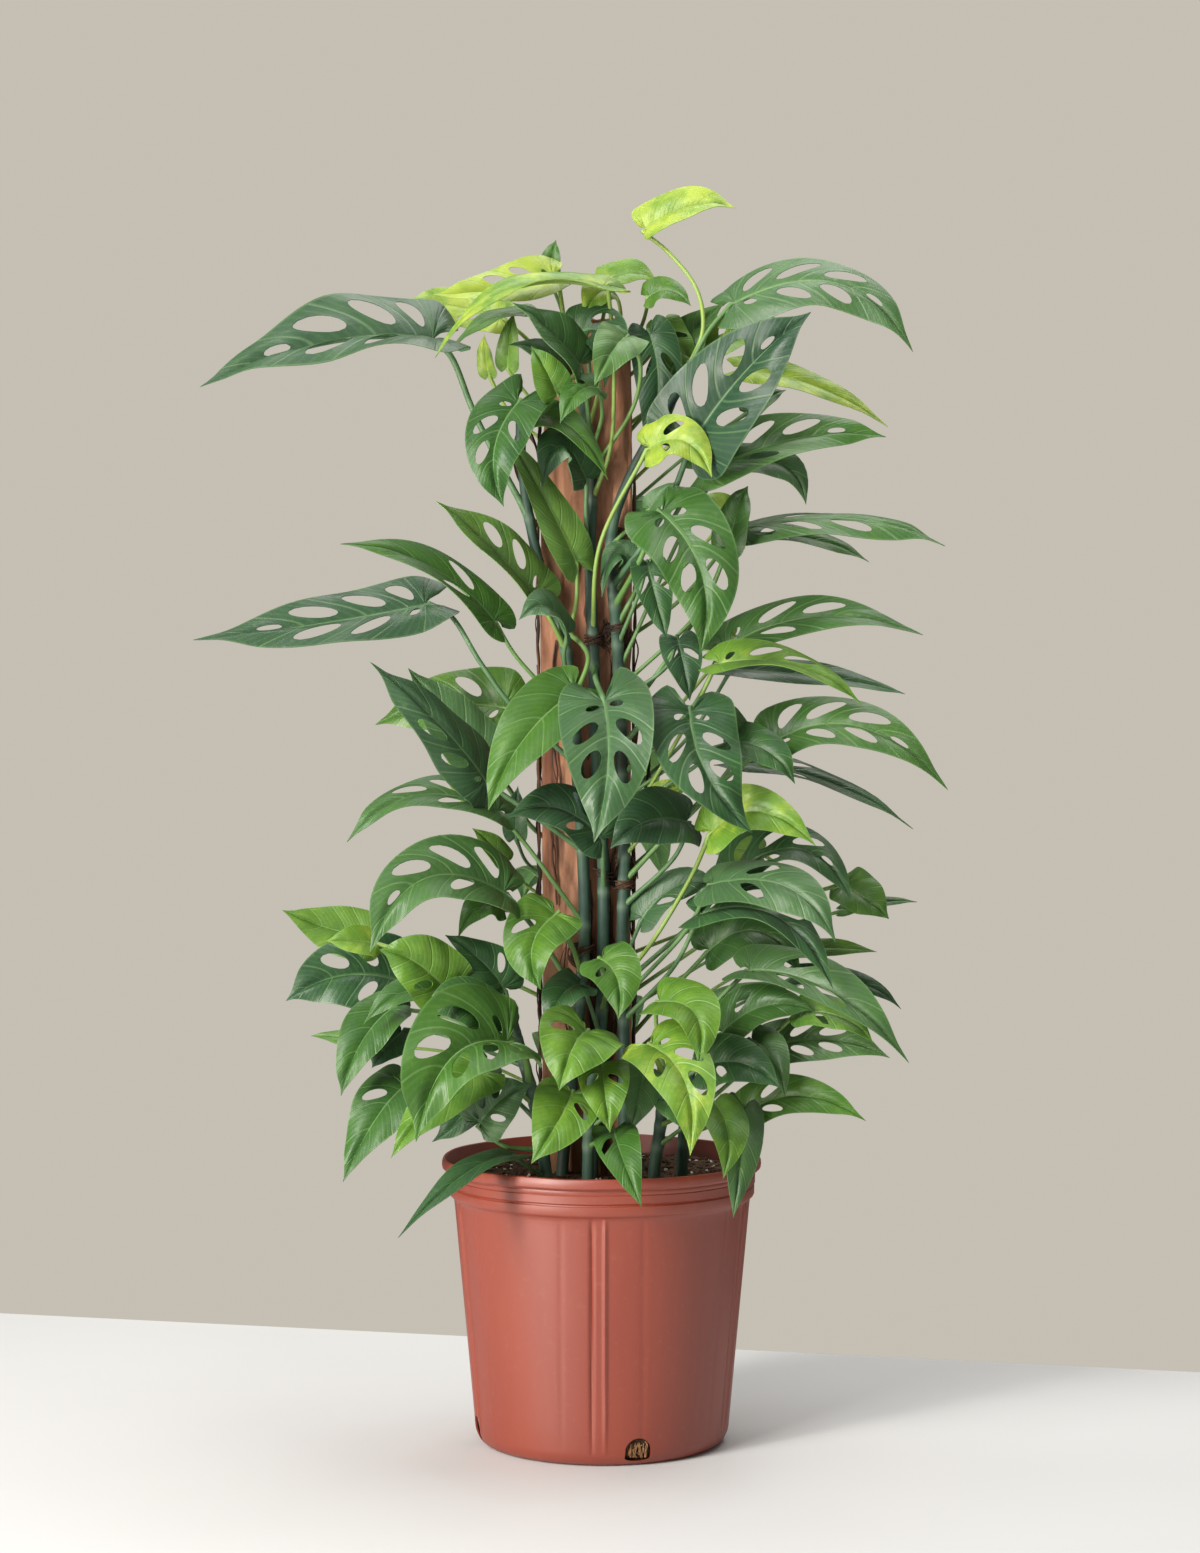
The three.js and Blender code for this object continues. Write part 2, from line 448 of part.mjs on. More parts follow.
        wide: 44, face: 58, holes: [2, 2] },
      { row: 1068, joint: [716, 1002, -18], tip: [800, 986, -24], wide: 22, face: 45 },
      { row: 1142, via: [[705, 1128, -56]], joint: [743, 1117, -60], mid: [800, 1096, -84], tip: [866, 1121, -98],
        wide: 44, face: 52, holes: [1, 1] },
    ],
  },
};

// Leaves at the back, out of the photograph's sight, spread by a seeded rule over the rear stems.

const backLeafCount = 15;
const backLowest = 330;
const backSpacing = 36;
const backWidestTurn = 20;
const backNearest = 62;
const backFarthest = 116;

for (let i = 0; i < backLeafCount; i++) {
  const [drawTurn, drawReach, drawLength, drawDroop] = [0, 1, 2, 3].map((k) =>
    THREE.MathUtils.seededRandom(91 + 4 * i + k));
  const turn = backWidestTurn * (i % 2 ? 1 : -1) * (0.15 + 0.85 * drawTurn);
  const azimuth = THREE.MathUtils.degToRad(turn);
  const height = backLowest + i * backSpacing;
  const reach = THREE.MathUtils.lerp(backNearest, backFarthest, drawReach);
  const length = 74 + 34 * drawLength;
  const droop = 26 + 52 * drawDroop;
  const spot = (radius, z) =>
    new THREE.Vector3(-10 + radius * Math.sin(azimuth), 8 + radius * Math.cos(azimuth), z);
  const vine = turn < 0 ? vines.rearLeft : vines.rearRight;
  vine.leaves.push({
    row: rowOf(new THREE.Vector3(0, 22, height - 60)),
    via: [spot(0.62 * reach, height - 10)],
    joint: spot(reach, height),
    mid: spot(reach + 0.56 * length, height + 6 - 0.25 * droop),
    tip: spot(reach + length, height - droop),
    wide: 44 + 10 * drawLength,
    face: 68 + 14 * drawTurn,
    azimuth,
    holes: [0, 1],
  });
}

// Leaves. A blade is flat in (along, across): along runs from 0 at the leaf's joint to 1 at its
// tip, across from 0 at the midrib to 1 at the widest place. It is bent over a curved midrib.

const outlines = {
  large: [[-0.5, 0.18], [-1, 0.48], [-0.3, 0.88], [0.2, 1], [0.52, 0.8], [0.86, 0.2]],
  middle: [[-1, 0.42], [0.08, 0.98], [0.45, 0.88], [0.84, 0.24]],
  small: [[-1, 0.4], [0.2, 1], [0.72, 0.54]],
};
const midribs = { large: [0.66, 0.33], middle: [0.66, 0.33], small: [0.5] };
const holePlaces = [0.3, 0.55, 0.1, 0.74];
const holeMiddle = 0.5;
const holeReach = 0.3;
const holeSlant = 0.07;
const holeWide = 0.062;

function outlineWidth(along) {
  if (along < 0.16) {
    return 0.93 + 0.44 * along;
  }
  return Math.max(0.1, 1 - Math.pow((along - 0.16) / 0.84, 1.7));
}

function bladeSurface(leaf) {
  const joint = place(leaf.joint);
  const tip = place(leaf.tip);
  const chord = tip.clone().sub(joint).normalize();
  const toward = new THREE.Vector3(0, -1, 0);
  if (leaf.azimuth !== undefined) {
    toward.set(Math.sin(leaf.azimuth), Math.cos(leaf.azimuth), 0);
  }
  const shown = toward.addScaledVector(chord, -toward.dot(chord)).normalize();
  const level = new THREE.Vector3().crossVectors(chord, shown);
  const upward = new THREE.Vector3(0.3 * Math.sign(tip.x), 0, 1);
  if (level.dot(upward) < 0) {
    level.negate();
  }
  const face = THREE.MathUtils.degToRad(leaf.face);
  const normal = level.multiplyScalar(Math.cos(face)).addScaledVector(shown, Math.sin(face));
  const length = joint.distanceTo(tip);
  const mid = leaf.mid
    ? place(leaf.mid)
    : joint.clone().lerp(tip, 0.5).addScaledVector(normal, 0.08 * length);
  const handle = mid.clone().multiplyScalar(2).addScaledVector(joint, -0.5).addScaledVector(tip, -0.5);
  const fold = THREE.MathUtils.degToRad(leaf.fold ?? 10);
  const half = leaf.wide / 2;

  return (along, across, lift) => {
    const at = Math.max(0, along);
    const point = new THREE.Vector3()
      .addScaledVector(joint, (1 - at) * (1 - at))
      .addScaledVector(handle, 2 * at * (1 - at))
      .addScaledVector(tip, at * at);
    const tangent = new THREE.Vector3()
      .addScaledVector(joint, -2 * (1 - at))
      .addScaledVector(handle, 2 * (1 - 2 * at))
      .addScaledVector(tip, 2 * at);
    if (along < 0) {
      point.addScaledVector(tangent, along * length / tangent.length());
    }
    tangent.normalize();
    const out = normal.clone().addScaledVector(tangent, -normal.dot(tangent)).normalize();
    const side = new THREE.Vector3().crossVectors(out, tangent);
    return point
      .addScaledVector(side, across * half * Math.cos(fold))
      .addScaledVector(out, Math.abs(across) * half * Math.sin(fold) + lift);
  };
}

function holeOutline(along, sign, leaf) {
  const width = outlineWidth(along);
  const reach = holeReach * width;
  const wide = leaf.holeWide ?? holeWide;
  return [
    [along - holeSlant, sign * (holeMiddle * width - reach)],
    [along + wide, sign * (holeMiddle * width - 0.2 * reach)],
    [along + holeSlant, sign * (holeMiddle * width + reach)],
    [along - wide, sign * (holeMiddle * width + 0.2 * reach)],
  ];
}

// Which way round the flat triangle runs: above 0 when its corners run anticlockwise.
function turnOf(flat, [a, b, c]) {
  const [from, to, far] = [flat[a], flat[b], flat[c]];
  return (to[0] - from[0]) * (far[1] - from[1]) - (far[0] - from[0]) * (to[1] - from[1]);
}

// How far a triangle of the bent blade faces the way the blade does at its corners, from -1 to 1.
function facing(surface, flat, triangle) {
  const low = triangle.map((i) => surface(...flat[i], 0));
  const normal = low[1].clone().sub(low[0]).cross(low[2].clone().sub(low[0])).normalize();
  return Math.min(...triangle.map((i, k) => surface(...flat[i], 1).sub(low[k]).dot(normal)));
}

// Turns the shared edges of flat triangles until each one lies on the bent blade as well as it can,
// so that the blade's two faces stay apart.
const fittingPasses = 12;

function fitted(surface, flat, triangles) {
  const fit = (pair) => Math.min(...pair.map((triangle) => facing(surface, flat, triangle)));
  const found = triangles.map(([a, b, c]) => (turnOf(flat, [a, b, c]) > 0 ? [a, b, c] : [a, c, b]));
  for (let pass = 0; pass < fittingPasses; pass++) {
    for (let i = 0; i < found.length; i++) {
      for (let j = i + 1; j < found.length; j++) {
        const own = found[i].findIndex((corner) => !found[j].includes(corner));
        const far = found[j].find((corner) => !found[i].includes(corner));
        const [top, from, to] = [0, 1, 2].map((k) => found[i][(own + k) % 3]);
        if (!found[j].includes(from) || !found[j].includes(to)) {
          continue;
        }
        const turned = [[top, from, far], [top, far, to]];
        const convex = turned.every((triangle) => turnOf(flat, triangle) > 1e-4);
        if (convex && fit(turned) > fit([found[i], found[j]]) + 1e-3) {
          [found[i], found[j]] = turned;
        }
      }
    }
  }
  return found;
}

// Stems and stalks

const stemSides = 5;
const stalkRadius = (leaf) => 1.3 + leaf.wide / 60;
const stalkStep = 80;
const kneeLength = 1.5;

function rowOf(point) {
  const ahead = point.y + camera.back;
  const climb = point.z - camera.high;
  const forward = ahead * Math.cos(camera.pitch) - climb * Math.sin(camera.pitch);
  const up = ahead * Math.sin(camera.pitch) + climb * Math.cos(camera.pitch);
  return camera.centre[1] - camera.focalPixels * up / forward;
}

function onStem(vine, row) {
  const path = new THREE.CatmullRomCurve3(vine.stem.map(place), false, "centripetal");
  const samples = path.getSpacedPoints(240);
  return samples.reduce((best, point) =>
    Math.abs(rowOf(point) - row) < Math.abs(rowOf(best) - row) ? point : best);
}

// Three corners of the stalk's section at each place along it, from the leaf's joint to the stem.
function stalkRings(vine, leaf, surface) {
  const joint = surface(0, 0, 0);
  const tangent = surface(0.02, 0, 0).sub(joint).normalize();
  const side = surface(0, 1, 0).sub(surface(0, -1, 0)).normalize();
  const radius = stalkRadius(leaf);
  const knee = joint.clone().addScaledVector(tangent, -kneeLength - radius);
  const via = (leaf.via ?? []).map(place).reverse();
  const path = new THREE.CatmullRomCurve3([knee, ...via, onStem(vine, leaf.row)], false, "centripetal");
  const steps = THREE.MathUtils.clamp(Math.round(path.getLength() / stalkStep), 1 + via.length, 4);
  const middles = path.getSpacedPoints(steps);
  let across = side;
  return middles.map((middle, i) => {
    const from = i > 0 ? middles[i - 1] : joint;
    const to = middles[Math.min(i + 1, steps)];
    const ahead = to.clone().sub(from).normalize();
    across = across.clone().addScaledVector(ahead, -across.dot(ahead)).normalize();
    const up = new THREE.Vector3().crossVectors(across, ahead);
    return [
      middle.clone().addScaledVector(across, -0.87 * radius).addScaledVector(up, 0.5 * radius),
      middle.clone().addScaledVector(up, -radius),
      middle.clone().addScaledVector(across, 0.87 * radius).addScaledVector(up, 0.5 * radius),
    ];
  });
}

// A leaf is one closed mesh: two half blades with their holes, the margin's wall, and the stalk.
function leafSolid(vine, leaf) {
  const surface = bladeSurface(leaf);
  const lobe = leaf.lobe ?? 0.13;
  const holes = leaf.holes ?? [0, 0];
  const kind = leaf.wide > 54 ? "large" : leaf.wide > 34 || holes[0] + holes[1] > 0 ? "middle" : "small";
  const thick = leaf.wide > 40 ? bladeThick : slimBladeThick;
  const neck = 0.9 * stalkRadius(leaf) / (leaf.wide / 2);
  const corners = [];
  const faces = [];
  const known = new Map();
  const corner = (along, across) => {
    const key = `${along.toFixed(4)},${across.toFixed(4)}`;
    if (!known.has(key)) {
      known.set(key, corners.length);
      corners.push(surface(along, across, thick / 2), surface(along, across, -thick / 2));
    }
    return known.get(key);
  };
  const wall = (ring) => {
    for (let i = 1; i < ring.length; i++) {
      const [from, to] = [ring[i - 1], ring[i]];
      faces.push([from + 1, to + 1, to], [from + 1, to, from]);
    }
  };
  const rim = { "-1": [], 1: [] };

  for (const sign of [-1, 1]) {
    const count = holes[sign > 0 ? 1 : 0];
    const margin = outlines[kind].map(([along, across]) => [along < 0 ? along * lobe : along, sign * across]);
    const base = sign > 0 ? [[0, -neck], [0, neck]] : [[0, -neck]];
    const half = [...base, ...margin, [1, 0], ...midribs[kind].map((along) => [along, 0])];
    const cuts = holePlaces.slice(0, count).map((along) => holeOutline(along, sign, leaf));
    const flat = [...half, ...cuts.flat()];
    const vectors = (ring) => ring.map(([along, across]) => new THREE.Vector2(along, across));
    const triangles = THREE.ShapeUtils.triangulateShape(vectors(half), cuts.map(vectors));
    const index = flat.map(([along, across]) => corner(along, across));
    for (const [a, b, c] of fitted(surface, flat, triangles)) {
      const [i, j, k] = [index[a], index[b], index[c]];
      faces.push([i, j, k], [i + 1, k + 1, j + 1]);
    }
    for (const cut of cuts) {
      const ring = cut.map(([along, across]) => corner(along, across));
      wall(sign > 0 ? [...ring.reverse(), ring[0]] : [...ring, ring[0]]);
    }
    rim[sign] = [[0, sign * neck], ...margin, [1, 0]].map(([along, across]) => corner(along, across));
  }
  wall([...rim[-1], ...rim[1].reverse().slice(1)]);

  const [a, b] = [corner(0, -neck), corner(0, -neck) + 1];
  const [d, c] = [corner(0, neck), corner(0, neck) + 1];
  let ring;
  for (const section of stalkRings(vine, leaf, surface)) {
    const [p, q, r] = [corners.length, corners.length + 1, corners.length + 2];
    corners.push(...section);
    if (!ring) {
      faces.push([d, r, p], [d, p, a], [a, p, q], [a, q, b], [c, b, q], [d, q, r], [d, c, q]);
    } else {
      const [o, m, n] = ring;
      faces.push([n, r, p], [n, p, o], [o, p, q], [o, q, m], [n, q, r], [n, m, q]);
    }
    ring = [p, q, r];
  }
  faces.push([ring[2], ring[1], ring[0]]);

  const geometry = new THREE.BufferGeometry();
  geometry.setFromPoints(corners);
  geometry.setIndex(faces.flat());
  return toSolid(geometry);
}

function stemSolid(vine, extra = 0) {
  const points = vine.stem.map(place);
  const foot = points[0].clone().sub(points[1]).setLength(2 * extra);
  points[0].add(foot);
  return rod(points, stemRadius + extra, stemSides, vine.stem.length);
}

// Aerial roots: thin strands that wind up the pole's two sides, loop out and tangle.
// A strand's points are [how far its middle stands off the pole's side, y, z].

const rootRadius = 1.3;
const leftRoots = [
  [[1.7, -7, 229.8], [2.6, 2, 330], [1.1, -6, 430], [2.8, 3, 520], [1.1, -5, 610], [2.4, 2, 700],
    [1.8, -6, 790], [2, 0, 868]],
  [[2.8, 4, 229.8], [1.9, -6, 345], [3, 3, 450], [1.9, -5, 560], [2, 4, 655]],
  [[2.2, -3, 770], [12, -9, 792], [22, -8, 826], [17, -6, 858], [4, -4, 838], [2.2, -3, 815]],
];
const rightRoots = [
  [[1.7, -6, 229.8], [2.6, 3, 330], [1.8, -5, 440], [3, 2, 540], [1.8, -6, 640], [2.8, 1, 730],
    [1.8, -6, 812]],
  [[2.8, 4, 229.8], [1.9, -5, 350], [2.8, 3, 460], [2, -4, 570]],
  [[2.4, -4, 520], [12, -2, 548], [15, 2, 580], [9, 4, 606], [4, -2, 596], [2.2, -4, 560]],
];

function sideAt(edge, z) {
  const i = Math.max(1, edge.findIndex(([, height]) => height >= z));
  const [from, to] = [edge[i - 1], edge[i]];
  return THREE.MathUtils.mapLinear(z, from[1], to[1], from[0], to[0]);
}

function rootSolid(strands, edge, direction) {
  return largestBody(wasm.Manifold.union(strands.map((strand) => {
    const points = strand.map(([off, y, z]) =>
      new THREE.Vector3(sideAt(edge, z) + direction * off, y, z));
    return rod(points, rootRadius, 3, points.length + 2);
  })));
}

function largestBody(solid) {
  const bodies = solid.decompose().filter((body) => body.volume() > 0);
  return bodies.reduce((best, body) => (body.volume() > best.volume() ? body : best));
}

// Soil: it fills the pot below the rim, with a plain hole for each stem and for the pole.

const soilSides = 24;

function makeSoil() {
  const profile = [
    [0, 4 + soilGap], [98.6, 4 + soilGap], [103.8, 11], [124.8, soilTop - 1], [80, soilTop + 2],
    [0, soilTop + 3],
  ];
  const foot = poleLeft[0][1];
  const poleHole = new THREE.BoxGeometry(
    poleRight[0][0] - poleLeft[0][0] + 2 * soilGap,
    poleThick + 2 * soilGap,
    potHeight,
  ).translate((poleRight[0][0] + poleLeft[0][0]) / 2, 0, foot - soilGap + potHeight / 2);
  let soil = lathe(profile, soilSides).subtract(toSolid(poleHole));
  for (const vine of Object.values(vines)) {
    soil = soil.subtract(stemSolid(vine, soilGap));
  }
  return soil;
}

// The pieces

function vineSolid(vine) {
  return largestBody(wasm.Manifold.union([
    stemSolid(vine),
    ...vine.leaves.map((leaf) => leafSolid(vine, leaf)),
  ]));
}

addPiece("pot", makePot(), finish(colours.pot, 0.5));
addPiece("soil", makeSoil(), finish(colours.soil, 0.95));
addPiece("wooden_pole", makePole(), finish(colours.pole, 0.85));
addPiece("aerial_roots_left", rootSolid(leftRoots, poleLeft, -1), finish(colours.root, 0.8));
addPiece("aerial_roots_right", rootSolid(rightRoots, poleRight, 1), finish(colours.root, 0.8));
addPiece("vine_left", vineSolid(vines.left), finish(colours.deep, 0.5));
addPiece("vine_middle", vineSolid(vines.middle), finish(colours.mid, 0.5));
addPiece("vine_right", vineSolid(vines.right), finish(colours.mid, 0.5));
addPiece("vine_rear_left", vineSolid(vines.rearLeft), finish(colours.bright, 0.5));
addPiece("vine_rear_right", vineSolid(vines.rearRight), finish(colours.bright, 0.5));
addPiece("vine_low_left", vineSolid(vines.lowLeft), finish(colours.deep, 0.5));
addPiece("vine_low_middle", vineSolid(vines.lowMiddle), finish(colours.bright, 0.5));
addPiece("vine_low_right", vineSolid(vines.lowRight), finish(colours.mid, 0.5));
addPiece("vine_low_side", vineSolid(vines.lowSide), finish(colours.mid, 0.5));

export default plant;
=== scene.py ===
# %% [markdown]
# # A potted swiss cheese vine
# The plant climbs a wooden pole in a thin nursery pot. Nine stems rise from the soil, hold on to the
# pole with thin aerial roots, and carry about 130 leaves with long holes between their side veins.
# The frame gives the plain solids of each piece. This file makes the finer pieces that stand for
# them and the finishes, in metres, with the pot's underside on z = 0 and the front along -Y.

# %% Tools and the frame
import math
import random

import bmesh
import bpy
import numpy as np
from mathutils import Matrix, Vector, noise


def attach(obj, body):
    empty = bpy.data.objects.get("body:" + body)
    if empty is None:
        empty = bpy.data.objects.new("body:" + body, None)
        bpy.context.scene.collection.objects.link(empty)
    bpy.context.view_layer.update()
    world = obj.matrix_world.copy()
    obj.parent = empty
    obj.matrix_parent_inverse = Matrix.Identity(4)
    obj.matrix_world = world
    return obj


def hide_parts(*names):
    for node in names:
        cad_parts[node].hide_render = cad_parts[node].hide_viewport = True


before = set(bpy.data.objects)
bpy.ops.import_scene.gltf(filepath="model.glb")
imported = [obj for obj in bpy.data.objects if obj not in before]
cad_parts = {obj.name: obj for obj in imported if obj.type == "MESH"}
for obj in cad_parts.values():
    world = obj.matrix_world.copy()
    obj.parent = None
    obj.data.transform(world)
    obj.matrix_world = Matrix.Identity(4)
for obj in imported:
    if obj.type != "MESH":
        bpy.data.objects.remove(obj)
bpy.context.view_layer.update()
bpy.ops.object.select_all(action="DESELECT")

# %% [markdown]
# ## The camera
# The camera stands 2.8 m in front of the pot at 0.65 m, and looks slightly down. The leaves could be
# placed in metres by trial. It is easier to read each place as a pixel with a depth and to work out
# the point from the camera, so the camera's numbers come first.

# %% The camera
picture_wide, picture_high = 1200, 1553
focal_pixels = 3324
sensor_wide = 36
camera_back, camera_high, camera_aside = 2.8, 0.65, -0.0017
camera_pitch = math.radians(1.82)

bpy.ops.object.camera_add(
    location=(camera_aside, -camera_back, camera_high),
    rotation=(math.pi / 2 - camera_pitch, 0, 0),
)
camera = bpy.context.object
camera.data.sensor_width = sensor_wide
camera.data.lens = sensor_wide * focal_pixels / picture_high
bpy.context.scene.camera = camera


def place(spot):
    """The point in metres of (pixels across, pixels down, depth in millimetres along +Y)."""
    across, down, depth = spot
    right = (across - picture_wide / 2) / focal_pixels
    up = (picture_high / 2 - down) / focal_pixels
    ahead = math.cos(camera_pitch) + up * math.sin(camera_pitch)
    climb = up * math.cos(camera_pitch) - math.sin(camera_pitch)
    reach = (depth / 1000 + camera_back) / ahead
    return np.array([camera_aside + right * reach, depth / 1000, camera_high + climb * reach])


def row_of(point):
    """The pixel row of a point in metres."""
    ahead, climb = point[1] + camera_back, point[2] - camera_high
    forward = ahead * math.cos(camera_pitch) - climb * math.sin(camera_pitch)
    up = ahead * math.sin(camera_pitch) + climb * math.cos(camera_pitch)
    return picture_high / 2 - focal_pixels * up / forward


print("lens", round(camera.data.lens, 2), "mm")

# %% [markdown]
# ## The room
# The plant stands on a pale board that ends a little behind it, against a plain warm grey. The grey
# could be a wall, but a wall would throw back light. Here it is the world's own colour, which the
# camera sees at full strength and the plant is lit by at about a third of it.

# %% The board
board_side = 8
board_edge_turn = math.radians(-13.7)
board_edge_back = 0.40
board_below = 0.0004

bpy.ops.mesh.primitive_plane_add(
    size=board_side,
    location=(
        math.sin(board_edge_turn) * board_side / 2,
        board_edge_back - math.cos(board_edge_turn) * board_side / 2,
        -board_below,
    ),
    rotation=(0, 0, board_edge_turn),
)
board = bpy.context.object
board.name = "pale_board"
print("board", board_side, "m square")

# %% The soft lights
plant_middle = Vector((0, 0, 0.5))


def add_area_light(name, place_at, size, power, colour, tall=1.0):
    """A soft light that looks at the middle of the plant, tall times as high as it is wide."""
    bpy.ops.object.light_add(type="AREA", location=place_at)
    light = bpy.context.object
    light.name = name
    light.data.shape = "RECTANGLE"
    light.data.size = size
    light.data.size_y = size * tall
    light.data.energy = power
    light.data.color = colour
    aim = plant_middle - Vector(place_at)
    light.rotation_euler = aim.to_track_quat("-Z", "Y").to_euler()


add_area_light("key", (-3.0, -3.4, 3.2), 2.2, 262, (1.0, 0.98, 0.945))
add_area_light("strip", (-1.75, -1.75, 0.62), 0.28, 55, (1.0, 0.93, 0.84), tall=3.8)
add_area_light("fill", (2.6, -2.4, 1.4), 2.6, 3, (0.94, 0.97, 1.0))
add_area_light("top", (0.35, 0.4, 3.0), 2.2, 62, (1.0, 0.99, 0.97))

# %% The grey behind
wall_grey = (0.56, 0.52, 0.455, 1)
seen_strength, lit_strength = 1.0, 0.36

world = bpy.data.worlds.new("studio")
bpy.context.scene.world = world
world.use_nodes = True
room = world.node_tree
backdrop = room.nodes["Background"]
backdrop.inputs["Color"].default_value = wall_grey
seen = room.nodes.new("ShaderNodeLightPath").outputs["Is Camera Ray"]
strength = room.nodes.new("ShaderNodeMapRange")
strength.inputs["To Min"].default_value = lit_strength
strength.inputs["To Max"].default_value = seen_strength
room.links.new(seen, strength.inputs["Value"])
room.links.new(strength.outputs["Result"], backdrop.inputs["Strength"])
bpy.context.scene.view_settings.view_transform = "Standard"
print("world lights the plant at", lit_strength)

# %% [markdown]
# ## Finishes
# A finish is a small tree of nodes round one shader. It could be drawn on an image, but noise on the
# piece's own place has no seams and no edge, so all colours here are made by nodes. The helpers add
# a node and link what it is given: a value is set on its socket, and another node's socket is linked
# to it. Colours are written as the usual six digits and turned into the linear light of the shader.

# %% Helpers for nodes
def linear(digits):
    """The linear colour of six hexadecimal digits."""
    parts = [int(digits[i : i + 2], 16) / 255 for i in (0, 2, 4)]
    return (*[((p + 0.055) / 1.055) ** 2.4 if p > 0.04045 else p / 12.92 for p in parts], 1)


def set_socket(tree, socket, value):
    """Links another node's socket, or sets a plain value."""
    if isinstance(value, bpy.types.NodeSocket):
        tree.links.new(value, socket)
    else:
        socket.default_value = value


def add_node(tree, kind, sockets, **settings):
    """A node of that kind, with its settings and with each socket set or linked."""
    made = tree.nodes.new(kind)
    for name, value in settings.items():
        setattr(made, name, value)
    for name, value in sockets.items():
        set_socket(tree, made.inputs[name], value)
    return made


def arithmetic(tree, operation, *values):
    """The result of a Math node on numbers or sockets."""
    sockets = dict(enumerate(values))
    return add_node(tree, "ShaderNodeMath", sockets, operation=operation).outputs[0]


def between(tree, value, low, high, to_low=0.0, to_high=1.0):
    """The value's way from low to high, as a number from to_low to to_high."""
    sockets = {"Value": value, "From Min": low, "From Max": high, "To Min": to_low, "To Max": to_high}
    return add_node(tree, "ShaderNodeMapRange", sockets).outputs["Result"]


def mixed(tree, share, first, second, how="MIX"):
    """The first colour with a share of the second mixed in, by a Mix node's colour sockets."""
    made = add_node(tree, "ShaderNodeMix", {}, data_type="RGBA", blend_type=how)
    for number, value in ((0, share), (6, first), (7, second)):
        set_socket(tree, made.inputs[number], value)
    return made.outputs[2]


def ramp(tree, value, stops):
    """A colour ramp through (place, six digits) stops."""
    made = add_node(tree, "ShaderNodeValToRGB", {"Fac": value})
    points = made.color_ramp.elements
    while len(points) < len(stops):
        points.new(0.5)
    for point, (position, digits) in zip(points, stops):
        point.position = position
        point.color = linear(digits)
    return made.outputs["Color"]


def speckle(tree, scale, detail=3.0, stretch=(1, 1, 1), rough=0.5):
    """Noise on the piece's own place, in patches a metre over scale wide."""
    spot = add_node(tree, "ShaderNodeTexCoord", {}).outputs["Object"]
    spread = add_node(tree, "ShaderNodeMapping", {"Vector": spot, "Scale": stretch}).outputs[0]
    sockets = {"Vector": spread, "Scale": scale, "Detail": detail, "Roughness": rough}
    return add_node(tree, "ShaderNodeTexNoise", sockets).outputs["Fac"]


# %% A finish and the board's paint
def finish(name, gloss_rough, colour_of, rough_of=None, bump_of=None, bump=0.3, bump_deep=0.001, **sockets):
    """A finish: its colour, its roughness and its relief, each worked out in the finish's own tree."""
    material = bpy.data.materials.new(name)
    material.use_nodes = True
    tree = material.node_tree
    shader = tree.nodes["Principled BSDF"]
    shader.inputs["Roughness"].default_value = gloss_rough
    for socket, value in sockets.items():
        shader.inputs[socket.replace("_", " ")].default_value = value
    tree.links.new(colour_of(tree), shader.inputs["Base Color"])
    if rough_of:
        tree.links.new(rough_of(tree), shader.inputs["Roughness"])
    if bump_of:
        bump_sockets = {"Height": bump_of(tree), "Strength": bump, "Distance": bump_deep}
        relief = add_node(tree, "ShaderNodeBump", bump_sockets)
        tree.links.new(relief.outputs["Normal"], shader.inputs["Normal"])
    return material


def use_finish(piece, *materials):
    """Gives a piece these finishes and nothing else."""
    piece.data.materials.clear()
    for material in materials:
        piece.data.materials.append(material)


board_paint = finish(
    "board_paint", 0.6, lambda tree: ramp(tree, speckle(tree, 3), [(0.3, "d5d6d7"), (0.7, "d8d9da")]),
)
use_finish(board, board_paint)
print("finishes", [m.name for m in bpy.data.materials])

# %% [markdown]
# ## The pot
# A nursery pot is blown or moulded from thin plastic: one wall with a rolled lip, a rim band with
# three fine grooves, and five upright folds that stiffen it. A spin of a profile would give the same
# round wall. Here a ring of many corners is extruded ring by ring up the outside, over the lip and
# down the inside, as a potter would draw it, so that each ring's radius and height can be read.
# The folds and the slight dents of the rim are then small moves of the corners, by a formula,
# because they show on both faces of so thin a wall.

# %% Helpers for shaping
weld = 0.00001


def pick(*pieces):
    """Selects these pieces alone, the first one active."""
    bpy.ops.object.select_all(action="DESELECT")
    for piece in pieces:
        piece.select_set(True)
    bpy.context.view_layer.objects.active = pieces[0]


def edit(piece):
    """Goes into edit mode on this piece alone."""
    pick(piece)
    bpy.ops.object.mode_set(mode="EDIT")


def leave_edit():
    bpy.ops.object.mode_set(mode="OBJECT")


def apply_modifier(piece, kind, **settings):
    """Adds a modifier, sets it and applies it."""
    pick(piece)
    added = piece.modifiers.new(kind.lower(), kind)
    for name, value in settings.items():
        setattr(added, name, value)
    bpy.ops.object.modifier_apply(modifier=added.name)


def smooth(piece, degrees):
    """Shades a piece smooth, but for edges sharper than these degrees."""
    pick(piece)
    bpy.ops.object.shade_smooth_by_angle(angle=math.radians(degrees))


def corners_of(piece):
    """The piece's corners as an array of places."""
    found = np.empty(len(piece.data.vertices) * 3)
    piece.data.vertices.foreach_get("co", found)
    return found.reshape(-1, 3)


def set_corners(piece, places):
    """Moves the piece's corners to these places."""
    piece.data.vertices.foreach_set("co", np.asarray(places, float).ravel())
    piece.data.update()


